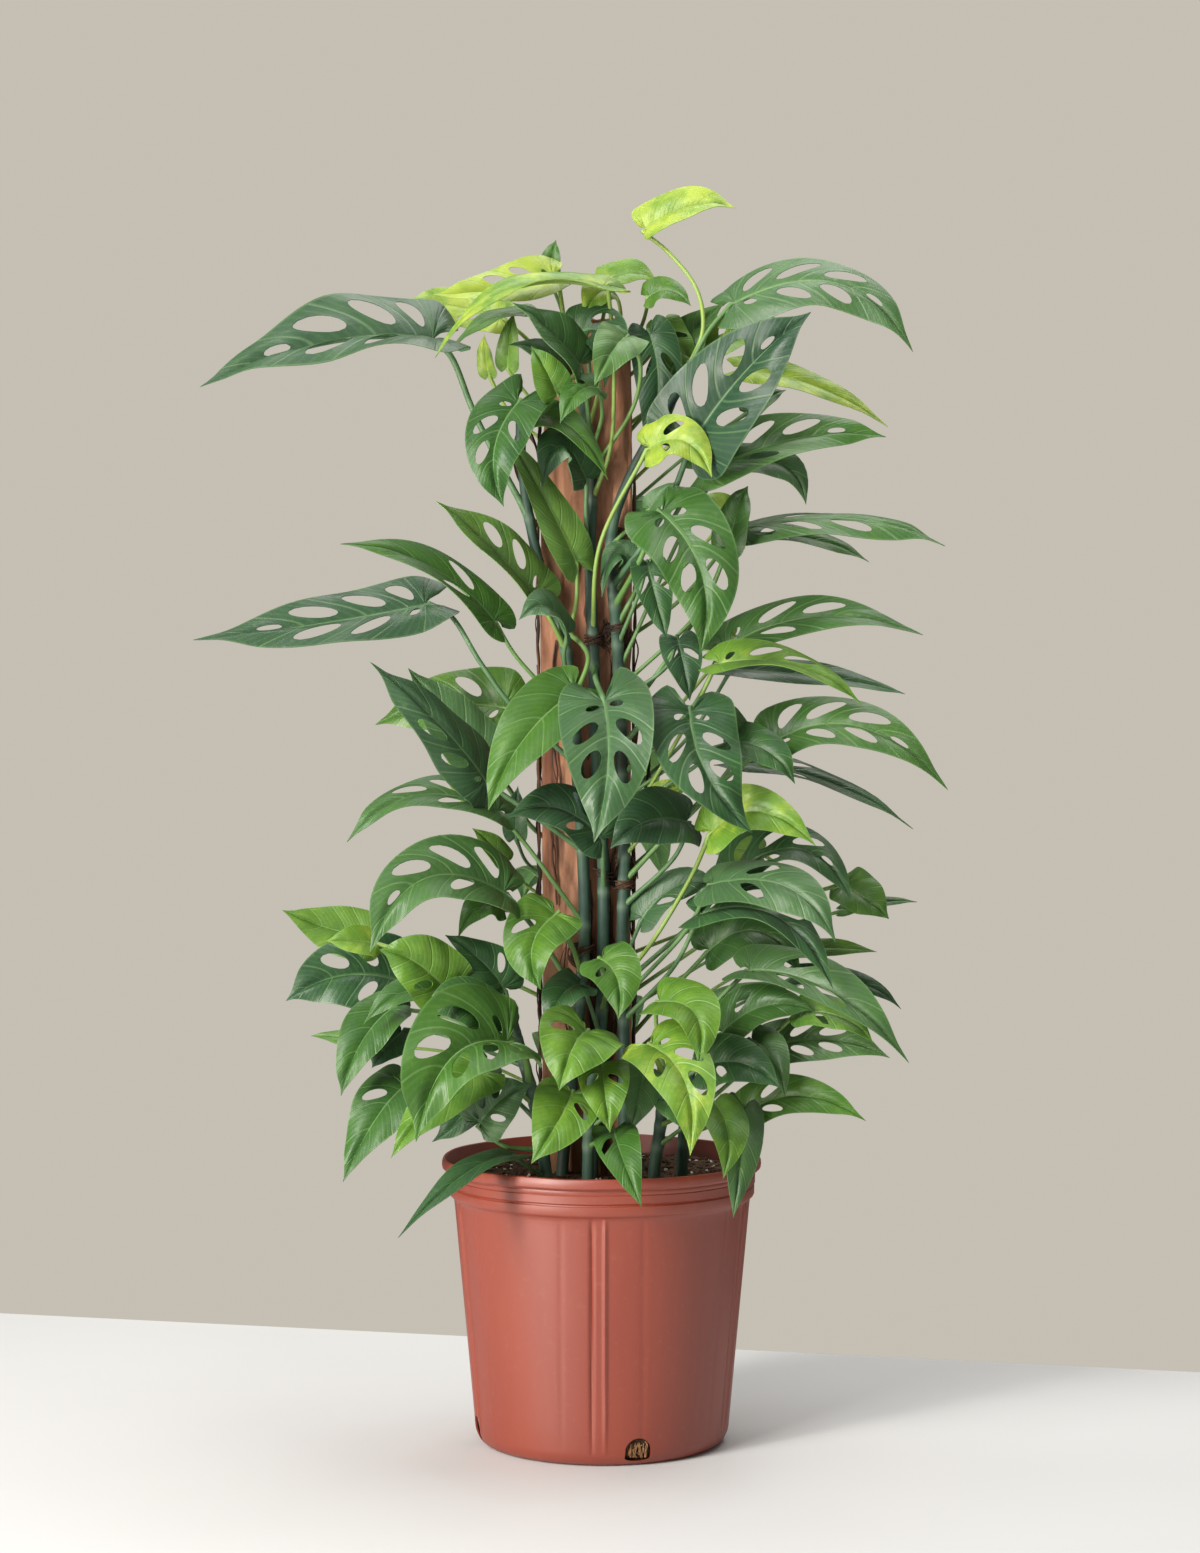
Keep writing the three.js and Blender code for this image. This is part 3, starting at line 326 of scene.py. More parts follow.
def lathe_rings(name, profile, corners):
    """A ring of corners, extruded through the (radius, height) places. It stays in edit mode."""
    radius, height = profile[0]
    bpy.ops.mesh.primitive_circle_add(vertices=corners, radius=radius, location=(0, 0, height))
    piece = bpy.context.object
    piece.name = name
    bpy.ops.object.transform_apply(location=True)
    edit(piece)
    bpy.ops.mesh.select_all(action="SELECT")
    for next_radius, next_height in profile[1:]:
        bpy.ops.mesh.extrude_edges_move(
            TRANSFORM_OT_translate={"value": (0, 0, next_height - height)}
        )
        bpy.ops.transform.resize(
            value=(next_radius / radius, next_radius / radius, 1), center_override=(0, 0, 0)
        )
        radius, height = next_radius, next_height
    bpy.ops.mesh.select_all(action="SELECT")
    bpy.ops.mesh.remove_doubles(threshold=weld)
    return piece


# %% The pot's wall
pot_corners = 640
pot_outside = [
    (0.0005, 0.0), (0.060, 0.0), (0.0965, 0.0), (0.1005, 0.0008), (0.1035, 0.003), (0.1052, 0.006),
    (0.1066, 0.0092), (0.1073, 0.0125), (0.1093, 0.035), (0.1132, 0.078), (0.1171, 0.120),
    (0.1211, 0.163), (0.1241, 0.196), (0.1249, 0.2035), (0.1256, 0.2065), (0.1270, 0.2080),
    (0.1282, 0.2088), (0.1288, 0.2100), (0.1290, 0.2150), (0.1290, 0.2164), (0.1283, 0.2170),
    (0.1280, 0.2178), (0.1288, 0.2186), (0.1296, 0.2192), (0.1298, 0.2240), (0.1299, 0.2252),
    (0.1294, 0.2258), (0.1298, 0.2264), (0.1303, 0.2285), (0.1300, 0.2296), (0.1306, 0.2304),
    (0.1334, 0.2310), (0.1346, 0.2322), (0.1350, 0.2345), (0.1348, 0.2375), (0.1340, 0.2393),
    (0.1328, 0.2400), (0.1316, 0.2394),
]
pot_inside = [
    (0.1306, 0.2370), (0.1288, 0.2320), (0.1276, 0.2290), (0.1262, 0.2180), (0.1246, 0.2060),
    (0.1243, 0.2035), (0.1237, 0.1965), (0.1200, 0.1570), (0.1145, 0.1000), (0.1090, 0.0450),
    (0.1056, 0.0120), (0.1040, 0.0062), (0.1000, 0.0040), (0.0600, 0.0040), (0.0005, 0.0040),
]
pot = lathe_rings("nursery_pot", pot_outside + pot_inside, pot_corners)
bpy.ops.mesh.select_all(action="DESELECT")
bpy.ops.mesh.select_mode(type="EDGE")
bpy.ops.mesh.select_non_manifold()
bpy.ops.mesh.edge_face_add()
bpy.ops.mesh.select_all(action="SELECT")
bpy.ops.mesh.normals_make_consistent(inside=False)
leave_edit()
print("pot wall", len(pot.data.polygons), "faces")

# %% Folds and dents
fold_angles = [math.radians(a) for a in (0, 72, 144, 216, 288)]
fold_low, fold_fade_low = 0.012, 0.010
fold_high, fold_fade_high = 0.206, 0.004
groove_aside, groove_wide, groove_deep = -0.0084, 0.0016, 0.0020
ridge_aside, ridge_wide, ridge_stand = 0.0026, 0.0015, 0.0018
crease_aside, crease_wide, crease_deep = 0.034, 0.0022, 0.0004
rim_from, rim_over = 0.200, 0.04
rim_bulges = [(0.0009, 3, 0.6), (0.0005, 7, 2.1)]
rim_lifts = [(0.0008, 2, 1.0), (0.0003, 9, 0.0)]
dent_deep, dent_at, dent_wide = 0.0016, -1.15, 0.16
lip_highest = 0.2405


def bell(distance, width):
    """1 at no distance, falling off over the width."""
    return np.exp(-((distance / width) ** 2))


def waves(table, around):
    """Waves round the pot, each (size, how many, start)."""
    return sum(size * np.sin(times * around + start) for size, times, start in table)


def shape_pot_wall(places):
    """The folds, which show on both faces of the wall, and the soft dents of the thin rim."""
    x, y, z = places.T
    radius = np.hypot(x, y)
    around = np.arctan2(x, -y)
    move = np.zeros_like(radius)
    for angle in fold_angles:
        aside = np.angle(np.exp(1j * (around - angle))) * radius
        move += ridge_stand * bell(aside - ridge_aside, ridge_wide)
        move -= groove_deep * bell(aside - groove_aside, groove_wide)
        move -= crease_deep * bell(np.abs(aside) - crease_aside, crease_wide)
    move *= np.clip((z - fold_low) / fold_fade_low, 0, 1) * np.clip((fold_high - z) / fold_fade_high, 0, 1)
    rim = np.clip((z - rim_from) / rim_over, 0, 1)
    move += rim * waves(rim_bulges, around)
    move -= dent_deep * rim * bell(np.angle(np.exp(1j * (around - dent_at))), dent_wide)
    shape = np.clip(1 + move / np.maximum(radius, 1e-6), 0.5, 1.5)
    high = np.minimum(z + rim * waves(rim_lifts, around), lip_highest)
    return np.stack([x * shape, y * shape, high], axis=1)


set_corners(pot, shape_pot_wall(corners_of(pot)))
print("folds at", [round(math.degrees(a)) for a in fold_angles], "degrees")

# %% [markdown]
# The pot's foot has four arched drain holes. Faces could be deleted, but their edge would be a
# staircase. A rounded block cuts a clean arch, by a boolean, and is turned to each hole's place.

# %% The drain holes
drain_angles = [math.radians(a) for a in (16, 92, 180, 282)]
drain_wide, drain_high, drain_low = 0.022, 0.0235, 0.004
block_deep, block_at, block_squash = 0.036, 0.102, 0.3


def cut_drain(angle):
    """Cuts an arched hole through the foot of the wall with a rounded block."""
    arch_middle = drain_high - drain_wide / 2
    bpy.ops.mesh.primitive_cylinder_add(
        vertices=28, radius=drain_wide / 2, depth=block_deep,
        location=(0, -block_at, arch_middle), rotation=(math.pi / 2, 0, 0),
    )
    block = bpy.context.object
    bpy.ops.object.transform_apply(location=True, rotation=True)
    places = corners_of(block)
    below = places[:, 2] < arch_middle
    places[below, 2] = drain_low + block_squash * (places[below, 2] - places[:, 2].min())
    turn = np.array([[math.cos(angle), -math.sin(angle)], [math.sin(angle), math.cos(angle)]])
    places[:, :2] = places[:, :2] @ turn.T
    set_corners(block, places)
    apply_modifier(pot, "BOOLEAN", object=block, operation="DIFFERENCE", solver="EXACT")
    bpy.data.objects.remove(block)


for angle in drain_angles:
    cut_drain(angle)
smooth(pot, 32)
print("pot", len(pot.data.polygons), "faces, lip at", round(corners_of(pot)[:, 2].max(), 4), "m")

# %% [markdown]
# ## The pot's plastic
# The plastic is one warm brick colour right through, with a wide soft shine. A plain colour with one
# roughness would look like paint, so light haze and scuffs vary the colour, and thin vertical flow
# marks from the mould vary the gloss.

# %% The plastic
def pot_colour(tree):
    base = ramp(
        tree, speckle(tree, 9, 4, stretch=(1, 1, 0.35)),
        [(0.25, "792b16"), (0.5, "822f18"), (0.78, "8a361d")],
    )
    dust = between(tree, speckle(tree, 160, 5), 0.58, 0.80, 0, 0.07)
    return mixed(tree, dust, base, linear("c4917a"))


def pot_gloss(tree):
    flow = speckle(tree, 30, 4, stretch=(1, 1, 0.06))
    return between(tree, flow, 0.25, 0.75, 0.44, 0.52)


pot_plastic = finish(
    "pot_plastic", 0.42, pot_colour, pot_gloss,
    bump_of=lambda tree: speckle(tree, 420, 3), bump=0.08, bump_deep=0.0004,
    Specular_IOR_Level=0.9,
)
use_finish(pot, pot_plastic)
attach(pot, "root")
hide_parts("pot")
print("finish", pot_plastic.name)

# %% [markdown]
# ## The potting soil
# Fibrous dark soil fills the pot to a finger below the rim. Its top is a disc of rings, closed
# underneath, that is raised and sunk by noise. Relief in the finish alone would leave the top flat
# where it is seen from the side. Crumbs and white grains of perlite are small rough stones, each a
# copy of one shape, sunk a little into the surface.

# %% The soil's body
soil_corners, soil_top, top_band = 150, 0.2262, 0.004
centre_hole = 0.0005
low_wide, high_wide, top_wide = 0.1040, 0.1225, 0.1243
wall_low, wall_rise, wall_rings = 0.012, 0.208, 8
top_turns = np.linspace(0.14, math.pi / 2, 46)
lumps, lump_slice, lump_high = 38, 0.3, 0.0028
clods, clod_slice, clod_high = 150, 4.1, 0.0016
edge_from, edge_over, edge_sink = 0.105, 0.02, 0.0012

soil_profile = [(centre_hole, 0.0046), (0.060, 0.0046), (0.0985, 0.0046), (0.1030, 0.0085)]
soil_profile += [
    (low_wide + (high_wide - low_wide) * i / wall_rings, wall_low + wall_rise * i / wall_rings)
    for i in range(wall_rings + 1)
]
soil_profile += [(top_wide, 0.2235)]
soil_profile += [(top_wide * math.cos(turn) + centre_hole, soil_top) for turn in top_turns]
soil = lathe_rings("potting_soil", soil_profile, soil_corners)
bpy.ops.mesh.fill_holes(sides=0)
bpy.ops.mesh.normals_make_consistent(inside=False)
leave_edit()


def noise_at(x, y, z):
    """Smooth noise from -1 to 1 at a place."""
    return noise.noise(Vector((x, y, z)))


def soil_height(x, y):
    """The height of the soil's rough top."""
    coarse = noise_at(x * lumps, y * lumps, lump_slice)
    fine = noise_at(x * clods, y * clods, clod_slice)
    edge = max(0.0, math.hypot(x, y) - edge_from) / edge_over
    return soil_top + lump_high * coarse + clod_high * fine - edge_sink * edge


places = corners_of(soil)
for place_at in places:
    if place_at[2] > soil_top - top_band:
        place_at[2] = soil_height(place_at[0], place_at[1])
set_corners(soil, places)
print("soil", len(soil.data.polygons), "faces")

# %% Crumbs and perlite
draw = random.Random(11)
scatter_wide = 0.1215
grain_stretch, grain_flat, grain_rough = (0.7, 1.3), (0.7, 1.1), (0.8, 1.15)
bpy.ops.mesh.primitive_ico_sphere_add(subdivisions=1, radius=1)
grain = bpy.context.object
grain_places = corners_of(grain)
grain_faces = [tuple(p.vertices) for p in grain.data.polygons]
bpy.data.objects.remove(grain)


def piece_of(name, corners, faces):
    """A new piece of these corners and faces, in the scene."""
    mesh = bpy.data.meshes.new(name)
    mesh.from_pydata(corners, [], faces)
    piece = bpy.data.objects.new(name, mesh)
    bpy.context.scene.collection.objects.link(piece)
    return piece


def scatter(name, count, small, large, flat, sink):
    """Rough grains from small to large over the soil's top, joined in one piece."""
    corners, faces = [], []
    for _ in range(count):
        around, radius = draw.uniform(0, 2 * math.pi), scatter_wide * math.sqrt(draw.random())
        x, y = radius * math.cos(around), radius * math.sin(around)
        size = small + (large - small) * draw.random() ** 2
        across = draw.uniform(*grain_stretch), draw.uniform(*grain_stretch)
        stretch = np.array([*across, flat * draw.uniform(*grain_flat)])
        rough = np.array([draw.uniform(*grain_rough) for _ in grain_places])[:, None]
        turn = draw.uniform(0, math.pi)
        grain_at = grain_places * rough * stretch * size
        c, s = math.cos(turn), math.sin(turn)
        grain_at[:, :2] = grain_at[:, :2] @ np.array([[c, -s], [s, c]])
        grain_at += (x, y, soil_height(x, y) + sink * size)
        faces += [tuple(i + len(corners) for i in face) for face in grain_faces]
        corners += grain_at.tolist()
    return piece_of(name, corners, faces)


crumbs = scatter("soil_crumbs", 1500, 0.0009, 0.0034, 0.7, 0.1)
perlite = scatter("perlite_grains", 130, 0.0008, 0.0022, 0.9, 0.25)
print("crumbs", len(crumbs.data.polygons), "faces, perlite", len(perlite.data.polygons))

# %% [markdown]
# Potting soil is a dry mix of bark dust and fibres, from near black to light brown. One brown would
# look like clay, and an image would need a flat layout of the bumpy top. Fine noise gives each crumb
# its own shade, with a deep relief and no gloss. Perlite is off-white and dull.

# %% The soil's finish
def soil_colour(tree):
    return ramp(
        tree, speckle(tree, 210, 6, rough=0.65),
        [(0.3, "1d130b"), (0.46, "3c2817"), (0.62, "5a3e26"), (0.8, "7d5c3c")],
    )


soil_finish = finish(
    "potting_soil", 0.95, soil_colour, bump_of=lambda tree: speckle(tree, 520, 6, rough=0.7),
    bump=0.9, bump_deep=0.0016,
)
perlite_finish = finish(
    "perlite", 0.85, lambda tree: ramp(tree, speckle(tree, 300), [(0.3, "b9b3a6"), (0.7, "e6e2d8")]),
)
use_finish(soil, soil_finish)
use_finish(crumbs, soil_finish)
use_finish(perlite, perlite_finish)
for piece in (soil, crumbs, perlite):
    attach(piece, "root")
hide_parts("soil")
print("finishes", [m.name for m in bpy.data.materials])

# %% [markdown]
# ## The wooden pole
# The pole is a slab of rough red-brown wood, 77 mm wide, with dark fissures along its grain and a
# strip of bark at its right. A new block could be shaped instead, but a copy of the plain solid
# keeps the pole's outline. It is remeshed into small even faces, and each corner is moved along its
# normal by noise that is long up the grain and short across it.

# %% The pole's shape
pole_face, pole_sunk = 0.0019, 0.0001
fissure_across, fissure_along, fissure_wide, fissure_deep = 62, 5.5, 0.24, 0.0021
sway_across, sway_along, sway = 14, 6, 0.8
ripple_across, ripple_along, ripple_high = 30, 9, 0.0006
fibre_across, fibre_along, fibre_high = 260, 30, 0.0003

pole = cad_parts["wooden_pole"].copy()
pole.data = pole.data.copy()
for key in list(pole.keys()):
    del pole[key]
pole.parent = None
pole.name = "rough_pole"
bpy.context.scene.collection.objects.link(pole)
edit(pole)
bpy.ops.mesh.select_all(action="SELECT")
bpy.ops.mesh.remove_doubles(threshold=weld)
leave_edit()
apply_modifier(pole, "REMESH", mode="VOXEL", voxel_size=pole_face, use_smooth_shade=True)


def grain_move(x, y, z):
    """How far the wood stands out or sinks: long fissures, ripples and fine fibres."""
    across = x * fissure_across + sway * noise_at(x * sway_across, y * sway_across, z * sway_along)
    fissure = noise_at(across, y * fissure_across, z * fissure_along)
    fissure = -max(0.0, fissure_wide - abs(fissure)) / fissure_wide
    ripple = noise_at(x * ripple_across, y * ripple_across, z * ripple_along)
    fibre = noise_at(x * fibre_across, y * fibre_across, z * fibre_along)
    return fissure_deep * fissure + ripple_high * ripple + fibre_high * fibre


places = corners_of(pole)
normals = np.array([v.normal for v in pole.data.vertices])
moves = np.array([grain_move(*p) for p in places])
set_corners(pole, places + normals * (moves[:, None] - pole_sunk))
smooth(pole, 60)
print("pole", len(pole.data.polygons), "faces")

# %% [markdown]
# The wood is a worn reddish brown with paler streaks and dark flecks. Its cracks are painted near
# black, partly darker wood and partly painted shade inside them. A wave pattern would draw tidy
# rings, as on a sawn board. Noise that is stretched up the pole breaks off and starts again, as torn
# fibres do, and the same stretch gives the relief.

# %% The wood's finish
def wood_colour(tree):
    wide = ramp(
        tree, speckle(tree, 26, 7, stretch=(1, 1, 0.14), rough=0.62),
        [(0.30, "321b12"), (0.39, "744834"), (0.48, "9c6b50"), (0.64, "b28266"), (0.82, "c69b80")],
    )
    fleck = between(tree, speckle(tree, 130, 5, stretch=(1, 1, 0.3)), 0.52, 0.75, 0, 0.6)
    flecked = mixed(tree, fleck, wide, linear("54301f"), "MULTIPLY")
    # Painted shade: near-black cracks, partly darker wood and partly the shade inside the cracks.
    crack_and_shade = between(tree, speckle(tree, 34, 5, stretch=(1, 1, 0.12), rough=0.55), 0.36, 0.43, 0.85, 0)
    return mixed(tree, crack_and_shade, flecked, linear("1f120c"))


wood_finish = finish(
    "rough_wood", 0.86, wood_colour, bump_of=lambda tree: speckle(tree, 150, 6, stretch=(1, 1, 0.22)),
    bump=0.75, bump_deep=0.0016,
)
use_finish(pole, wood_finish)
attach(pole, "root")
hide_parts("wooden_pole")
print("finish", wood_finish.name)

# %% [markdown]
# ## The vines, as numbers
# Leaves could be strewn over the stems by a rule, as on a hedge seen from afar. Here each leaf shows,
# so each has its own line of numbers, read from the photograph.
# Each vine is a stem and its leaves. A place is (pixels across, pixels down, depth in millimetres).
# A leaf hangs on its stem at a row; its stalk passes the via places to the joint; its midrib bends
# from the joint through mid to the tip. Its blade is wide millimetres across, turned by face from
# level to facing the camera, and folded up by fold at the midrib. Holes counts the long holes of
# its left and right half. Tint runs from 0, deep blue-green, to 1, lime. Grey dulls it toward a pale
# grey-green, which is partly a paler skin and partly a painted sheen.

# %% The vines
def leaf(**fields):
    """A leaf's fields, with the usual ones filled in."""
    usual = {"via": [], "mid": None, "fold": 10, "lobe": 0.13, "holes": (0, 0), "tint": 0.5, "grey": 0}
    return {**usual, "azimuth": None, **fields}


vines = {
    "left": {
        "stem": [
            (562, 1235, -24), (562, 1174, -24), (574, 1060, -20), (584, 950, -18), (583, 860, -18),
            (577, 770, -18), (572, 700, -19), (562, 630, -21), (541, 570, -22), (527, 505, -22),
            (521, 450, -22), (520, 415, -22),
        ],
        "leaves": [
            leaf(row=520, via=[(475, 415, -26), (452, 358, -27)], joint=(433, 340, -30),
                 mid=(330, 342, -55), tip=(200, 387, -75), wide=96, face=34, fold=18, holes=(3, 2),
                 tint=0.1, grey=0.25),
            leaf(row=415, joint=(518, 403, -52), mid=(494, 452, -80), tip=(504, 507, -86), wide=56,
                 face=75, fold=8, lobe=0.3, holes=(2, 1), tint=0.35),
            leaf(row=445, via=[(530, 430, -28)], joint=(536, 416, -33), mid=(574, 430, -48),
                 tip=(608, 480, -54), wide=36, face=55, tint=0.5, grey=0.05),
            leaf(row=645, via=[(576, 605, -32)], joint=(575, 560, -34), mid=(545, 500, -47),
                 tip=(502, 428, -55), wide=40, face=60, fold=8, tint=0.72, grey=0.35),
            leaf(row=690, via=[(564, 655, -40)], joint=(566, 632, -50), mid=(545, 606, -66),
                 tip=(519, 620, -74), wide=42, face=35, fold=12, tint=0.22, grey=0.4),
            leaf(row=650, via=[(552, 622, -34)], joint=(535, 595, -36), mid=(487, 545, -48),
                 tip=(435, 501, -58), wide=58, face=38, fold=24, holes=(2, 0), tint=0.68, grey=0.4),
            leaf(row=735, via=[(545, 690, -32), (515, 655, -38)], joint=(493, 620, -42),
                 mid=(425, 564, -60), tip=(340, 544, -78), wide=46, face=42, fold=14, holes=(1, 1),
                 tint=0.42, grey=0.1),
            leaf(row=765, via=[(512, 706, -34), (480, 662, -36), (450, 615, -33)], joint=(425, 605, -32),
                 mid=(320, 624, -50), tip=(193, 640, -66), wide=64, face=46, fold=6, holes=(3, 2),
                 tint=0.08, grey=0.2),
            leaf(row=625, via=[(588, 655, -44)], joint=(575, 692, -58), mid=(522, 742, -88),
                 tip=(488, 811, -104), wide=62, face=68, fold=12, tint=0.55, grey=0.05),
            leaf(row=850, via=[(520, 806, -40)], joint=(485, 780, -50), mid=(440, 725, -70),
                 tip=(370, 662, -82), wide=62, face=42, fold=-10, holes=(0, 2), tint=0.12, grey=0.3),
            leaf(row=925, via=[(530, 850, -34)], joint=(497, 812, -40), mid=(415, 796, -62),
                 tip=(347, 842, -82), wide=50, face=34, fold=8, holes=(2, 1), tint=0.38, grey=0.4),
            leaf(row=1000, via=[(535, 930, -42)], joint=(503, 893, -58), mid=(422, 880, -92),
                 tip=(370, 954, -114), wide=76, face=44, fold=14, holes=(3, 1), tint=0.38, grey=0.35),
            leaf(row=975, via=[(568, 935, -38)], joint=(555, 915, -54), mid=(532, 948, -78),
                 tip=(541, 990, -90), wide=60, face=76, holes=(1, 0), tint=0.6),
            leaf(row=960, via=[(540, 915, -36)], joint=(502, 908, -42), mid=(478, 908, -50),
                 tip=(458, 938, -56), wide=32, face=50, tint=0.5),
        ],
    },
    "middle": {
        "stem": [
            (592, 1235, -24), (592, 1174, -24), (600, 1060, -20), (603, 960, -18), (603, 860, -18),
            (598, 780, -18), (595, 700, -18), (592, 620, -18), (590, 560, -18), (592, 500, -18),
            (590, 440, -18), (582, 400, -20),
        ],
        "leaves": [
            leaf(row=404, via=[(568, 345, -18), (562, 305, -10)], joint=(554, 279, -8),
                 mid=(500, 290, -22), tip=(433, 295, -34), wide=50, face=48, fold=18, holes=(2, 0),
                 tint=0.9, grey=0.1),
            leaf(row=500, via=[(610, 450, -30), (614, 380, -24), (612, 330, -24)], joint=(604, 287, -38),
                 mid=(508, 291, -60), tip=(435, 358, -82), wide=44, face=24, fold=12, tint=0.84),
            leaf(row=442, via=[(586, 395, -38)], joint=(578, 364, -54), mid=(550, 332, -72),
                 tip=(513, 303, -80), wide=52, face=46, fold=18, tint=0.3, grey=0.1),
            leaf(row=440, via=[(572, 386, -23)], joint=(564, 374, -26), mid=(540, 352, -36),
                 tip=(508, 345, -42), wide=34, face=30, tint=0.18, grey=0.1),
            leaf(row=420, via=[(588, 360, -26)], joint=(578, 333, -30), mid=(604, 338, -40),
                 tip=(604, 388, -44), wide=50, face=66, holes=(1, 1), tint=0.16, grey=0.1),
            leaf(row=470, via=[(634, 405, -42), (640, 362, -56)], joint=(626, 337, -68),
                 mid=(612, 352, -88), tip=(594, 386, -98), wide=42, face=78, tint=0.55, grey=0.5),
            leaf(row=455, via=[(602, 415, -42)], joint=(596, 388, -64), mid=(576, 394, -78),
                 tip=(560, 424, -86), wide=32, face=66, holes=(1, 0), tint=0.42),
            leaf(row=402, via=[(568, 390, -38)], joint=(556, 392, -57), tip=(531, 346, -69), wide=32,
                 face=74, tint=0.66, grey=0.05),
            leaf(row=560, via=[(586, 520, -28)], joint=(585, 478, -32), mid=(560, 446, -46),
                 tip=(542, 488, -52), wide=48, face=45, tint=0.16, grey=0.1),
            leaf(row=635, via=[(600, 545, -46)], joint=(650, 448, -58), mid=(686, 442, -76),
                 tip=(712, 478, -84), wide=46, face=70, holes=(1, 1), tint=0.83),
            leaf(row=665, via=[(596, 680, -52)], joint=(604, 702, -80), mid=(608, 765, -118),
                 tip=(594, 843, -130), wide=80, face=80, fold=8, lobe=0.24, holes=(2, 2), tint=0.2,
                 grey=0.4),
            leaf(row=890, joint=(600, 838, -46), mid=(556, 808, -60), tip=(507, 818, -72), wide=52,
                 face=58, holes=(1, 1), tint=0.12, grey=0.1),
            leaf(row=1010, via=[(606, 988, -50)], joint=(602, 960, -74), mid=(618, 982, -94),
                 tip=(618, 1020, -104), wide=48, face=80, holes=(1, 0), tint=0.58, grey=0.05),
            leaf(row=1040, via=[(590, 1005, -34)], joint=(580, 985, -44), mid=(560, 998, -62),
                 tip=(548, 1031, -72), wide=40, face=60, tint=0.15, grey=0.1),
            leaf(row=428, via=[(598, 392, -24), (602, 325, -24)], joint=(606, 292, -16),
                 mid=(596, 296, -24), tip=(583, 315, -30), wide=34, face=62, tint=0.9, grey=0.1),
        ],
    },
    "right": {
        "stem": [
            (624, 1235, -24), (624, 1174, -24), (624, 1060, -20), (622, 960, -18), (624, 860, -18),
            (622, 780, -18), (620, 700, -18), (616, 620, -18), (611, 560, -19), (614, 520, -22),
            (632, 472, -30), (655, 430, -36), (678, 390, -40), (692, 362, -40),
        ],
        "leaves": [
            leaf(row=362, via=[(703, 330, -38), (697, 290, -30), (668, 252, -18)], joint=(646, 229, -14),
                 mid=(692, 206, -22), tip=(735, 208, -30), wide=46, face=50, fold=18, lobe=0.06, tint=0.93),
            leaf(row=385, via=[(708, 332, -44)], joint=(735, 303, -38), mid=(838, 284, -66),
                 tip=(913, 352, -84), wide=60, face=50, fold=-6, holes=(2, 3), tint=0.36, grey=0.45),
            leaf(row=585, via=[(640, 550, -48), (670, 500, -52)], joint=(693, 442, -58),
                 mid=(745, 372, -84), tip=(811, 312, -98), wide=92, face=70, fold=14, holes=(2, 3),
                 tint=0, grey=0),
            leaf(row=628, via=[(684, 500, -40)], joint=(708, 471, -40), mid=(800, 438, -56),
                 tip=(886, 437, -62), wide=60, face=48, fold=14, holes=(1, 3), tint=0.42, grey=0.1),
            leaf(row=670, via=[(700, 500, -24)], joint=(735, 462, -22), mid=(785, 468, -30),
                 tip=(806, 505, -36), wide=36, face=50, tint=0.35, grey=0.45),
            leaf(row=606, via=[(640, 560, -56)], joint=(662, 513, -74), mid=(702, 575, -110),
                 tip=(700, 655, -122), wide=76, face=80, fold=6, holes=(2, 2), tint=0.45),
            leaf(row=545, joint=(650, 508, -54), tip=(676, 482, -60), wide=20, face=60, tint=0.38,
                 grey=0.5),
            leaf(row=596, joint=(628, 558, -29), mid=(612, 558, -33), tip=(602, 598, -34), wide=26,
                 face=50, tint=0.15, grey=0.1),
            leaf(row=690, via=[(700, 610, -28)], joint=(728, 548, -34), mid=(738, 510, -42),
                 tip=(748, 486, -46), wide=34, face=60, tint=0.42, grey=0.1),
            leaf(row=725, via=[(706, 600, -20)], joint=(738, 528, -14), mid=(850, 519, -36),
                 tip=(945, 546, -54), wide=54, face=22, fold=-14, holes=(3, 1), tint=0.4, grey=0.15),
            leaf(row=775, via=[(692, 708, -24)], joint=(727, 647, -18), mid=(820, 617, -36),
                 tip=(923, 635, -52), wide=56, face=42, fold=10, holes=(1, 2), tint=0.42, grey=0.1),
            leaf(row=830, via=[(694, 710, -44)], joint=(720, 664, -54), mid=(795, 666, -72),
                 tip=(862, 705, -84), wide=44, face=38, fold=18, holes=(0, 2), tint=0.78),
            leaf(row=700, via=[(668, 665, -30)], joint=(678, 640, -36), mid=(684, 668, -48),
                 tip=(690, 701, -54), wide=36, face=76, holes=(1, 1), tint=0.15, grey=0.1),
            leaf(row=645, via=[(640, 590, -40)], joint=(648, 565, -50), mid=(656, 600, -62),
                 tip=(667, 640, -66), wide=34, face=74, holes=(1, 1), tint=0.2, grey=0.1),
            leaf(row=745, via=[(660, 708, -48)], joint=(690, 712, -76), mid=(707, 775, -112),
                 tip=(752, 833, -124), wide=76, face=72, lobe=0.2, holes=(2, 2), tint=0.2, grey=0.05),
            leaf(row=815, via=[(690, 770, -52)], joint=(732, 742, -66), mid=(768, 752, -84),
                 tip=(795, 784, -94), wide=42, face=52, tint=0.25, grey=0.1),
            leaf(row=800, via=[(690, 756, -34)], joint=(734, 738, -40), tip=(728, 702, -42), wide=26,
                 face=60, tint=0.35, grey=0.5),
            leaf(row=880, via=[(712, 790, -36)], joint=(775, 741, -34), mid=(862, 728, -58),
                 tip=(948, 790, -78), wide=64, face=50, fold=10, holes=(2, 3), tint=0.42, grey=0.1),
            leaf(row=978, via=[(650, 945, -40), (692, 875, -54)], joint=(712, 832, -74),
                 mid=(760, 812, -96), tip=(816, 846, -110), wide=52, face=56, fold=10, tint=0.82),
            leaf(row=905, via=[(676, 855, -42)], joint=(686, 822, -54), mid=(646, 822, -82),
                 tip=(610, 849, -94), wide=58, face=62, tint=0.14, grey=0.1),
            leaf(row=855, via=[(646, 828, -28)], joint=(652, 803, -32), tip=(690, 784, -36), wide=28,
                 face=60, tint=0.8, grey=0.05),
            leaf(row=1000, via=[(690, 925, -54)], joint=(713, 884, -72), mid=(788, 888, -108),
                 tip=(836, 943, -128), wide=54, face=46, fold=-4, holes=(1, 1), tint=0.3, grey=0.5),
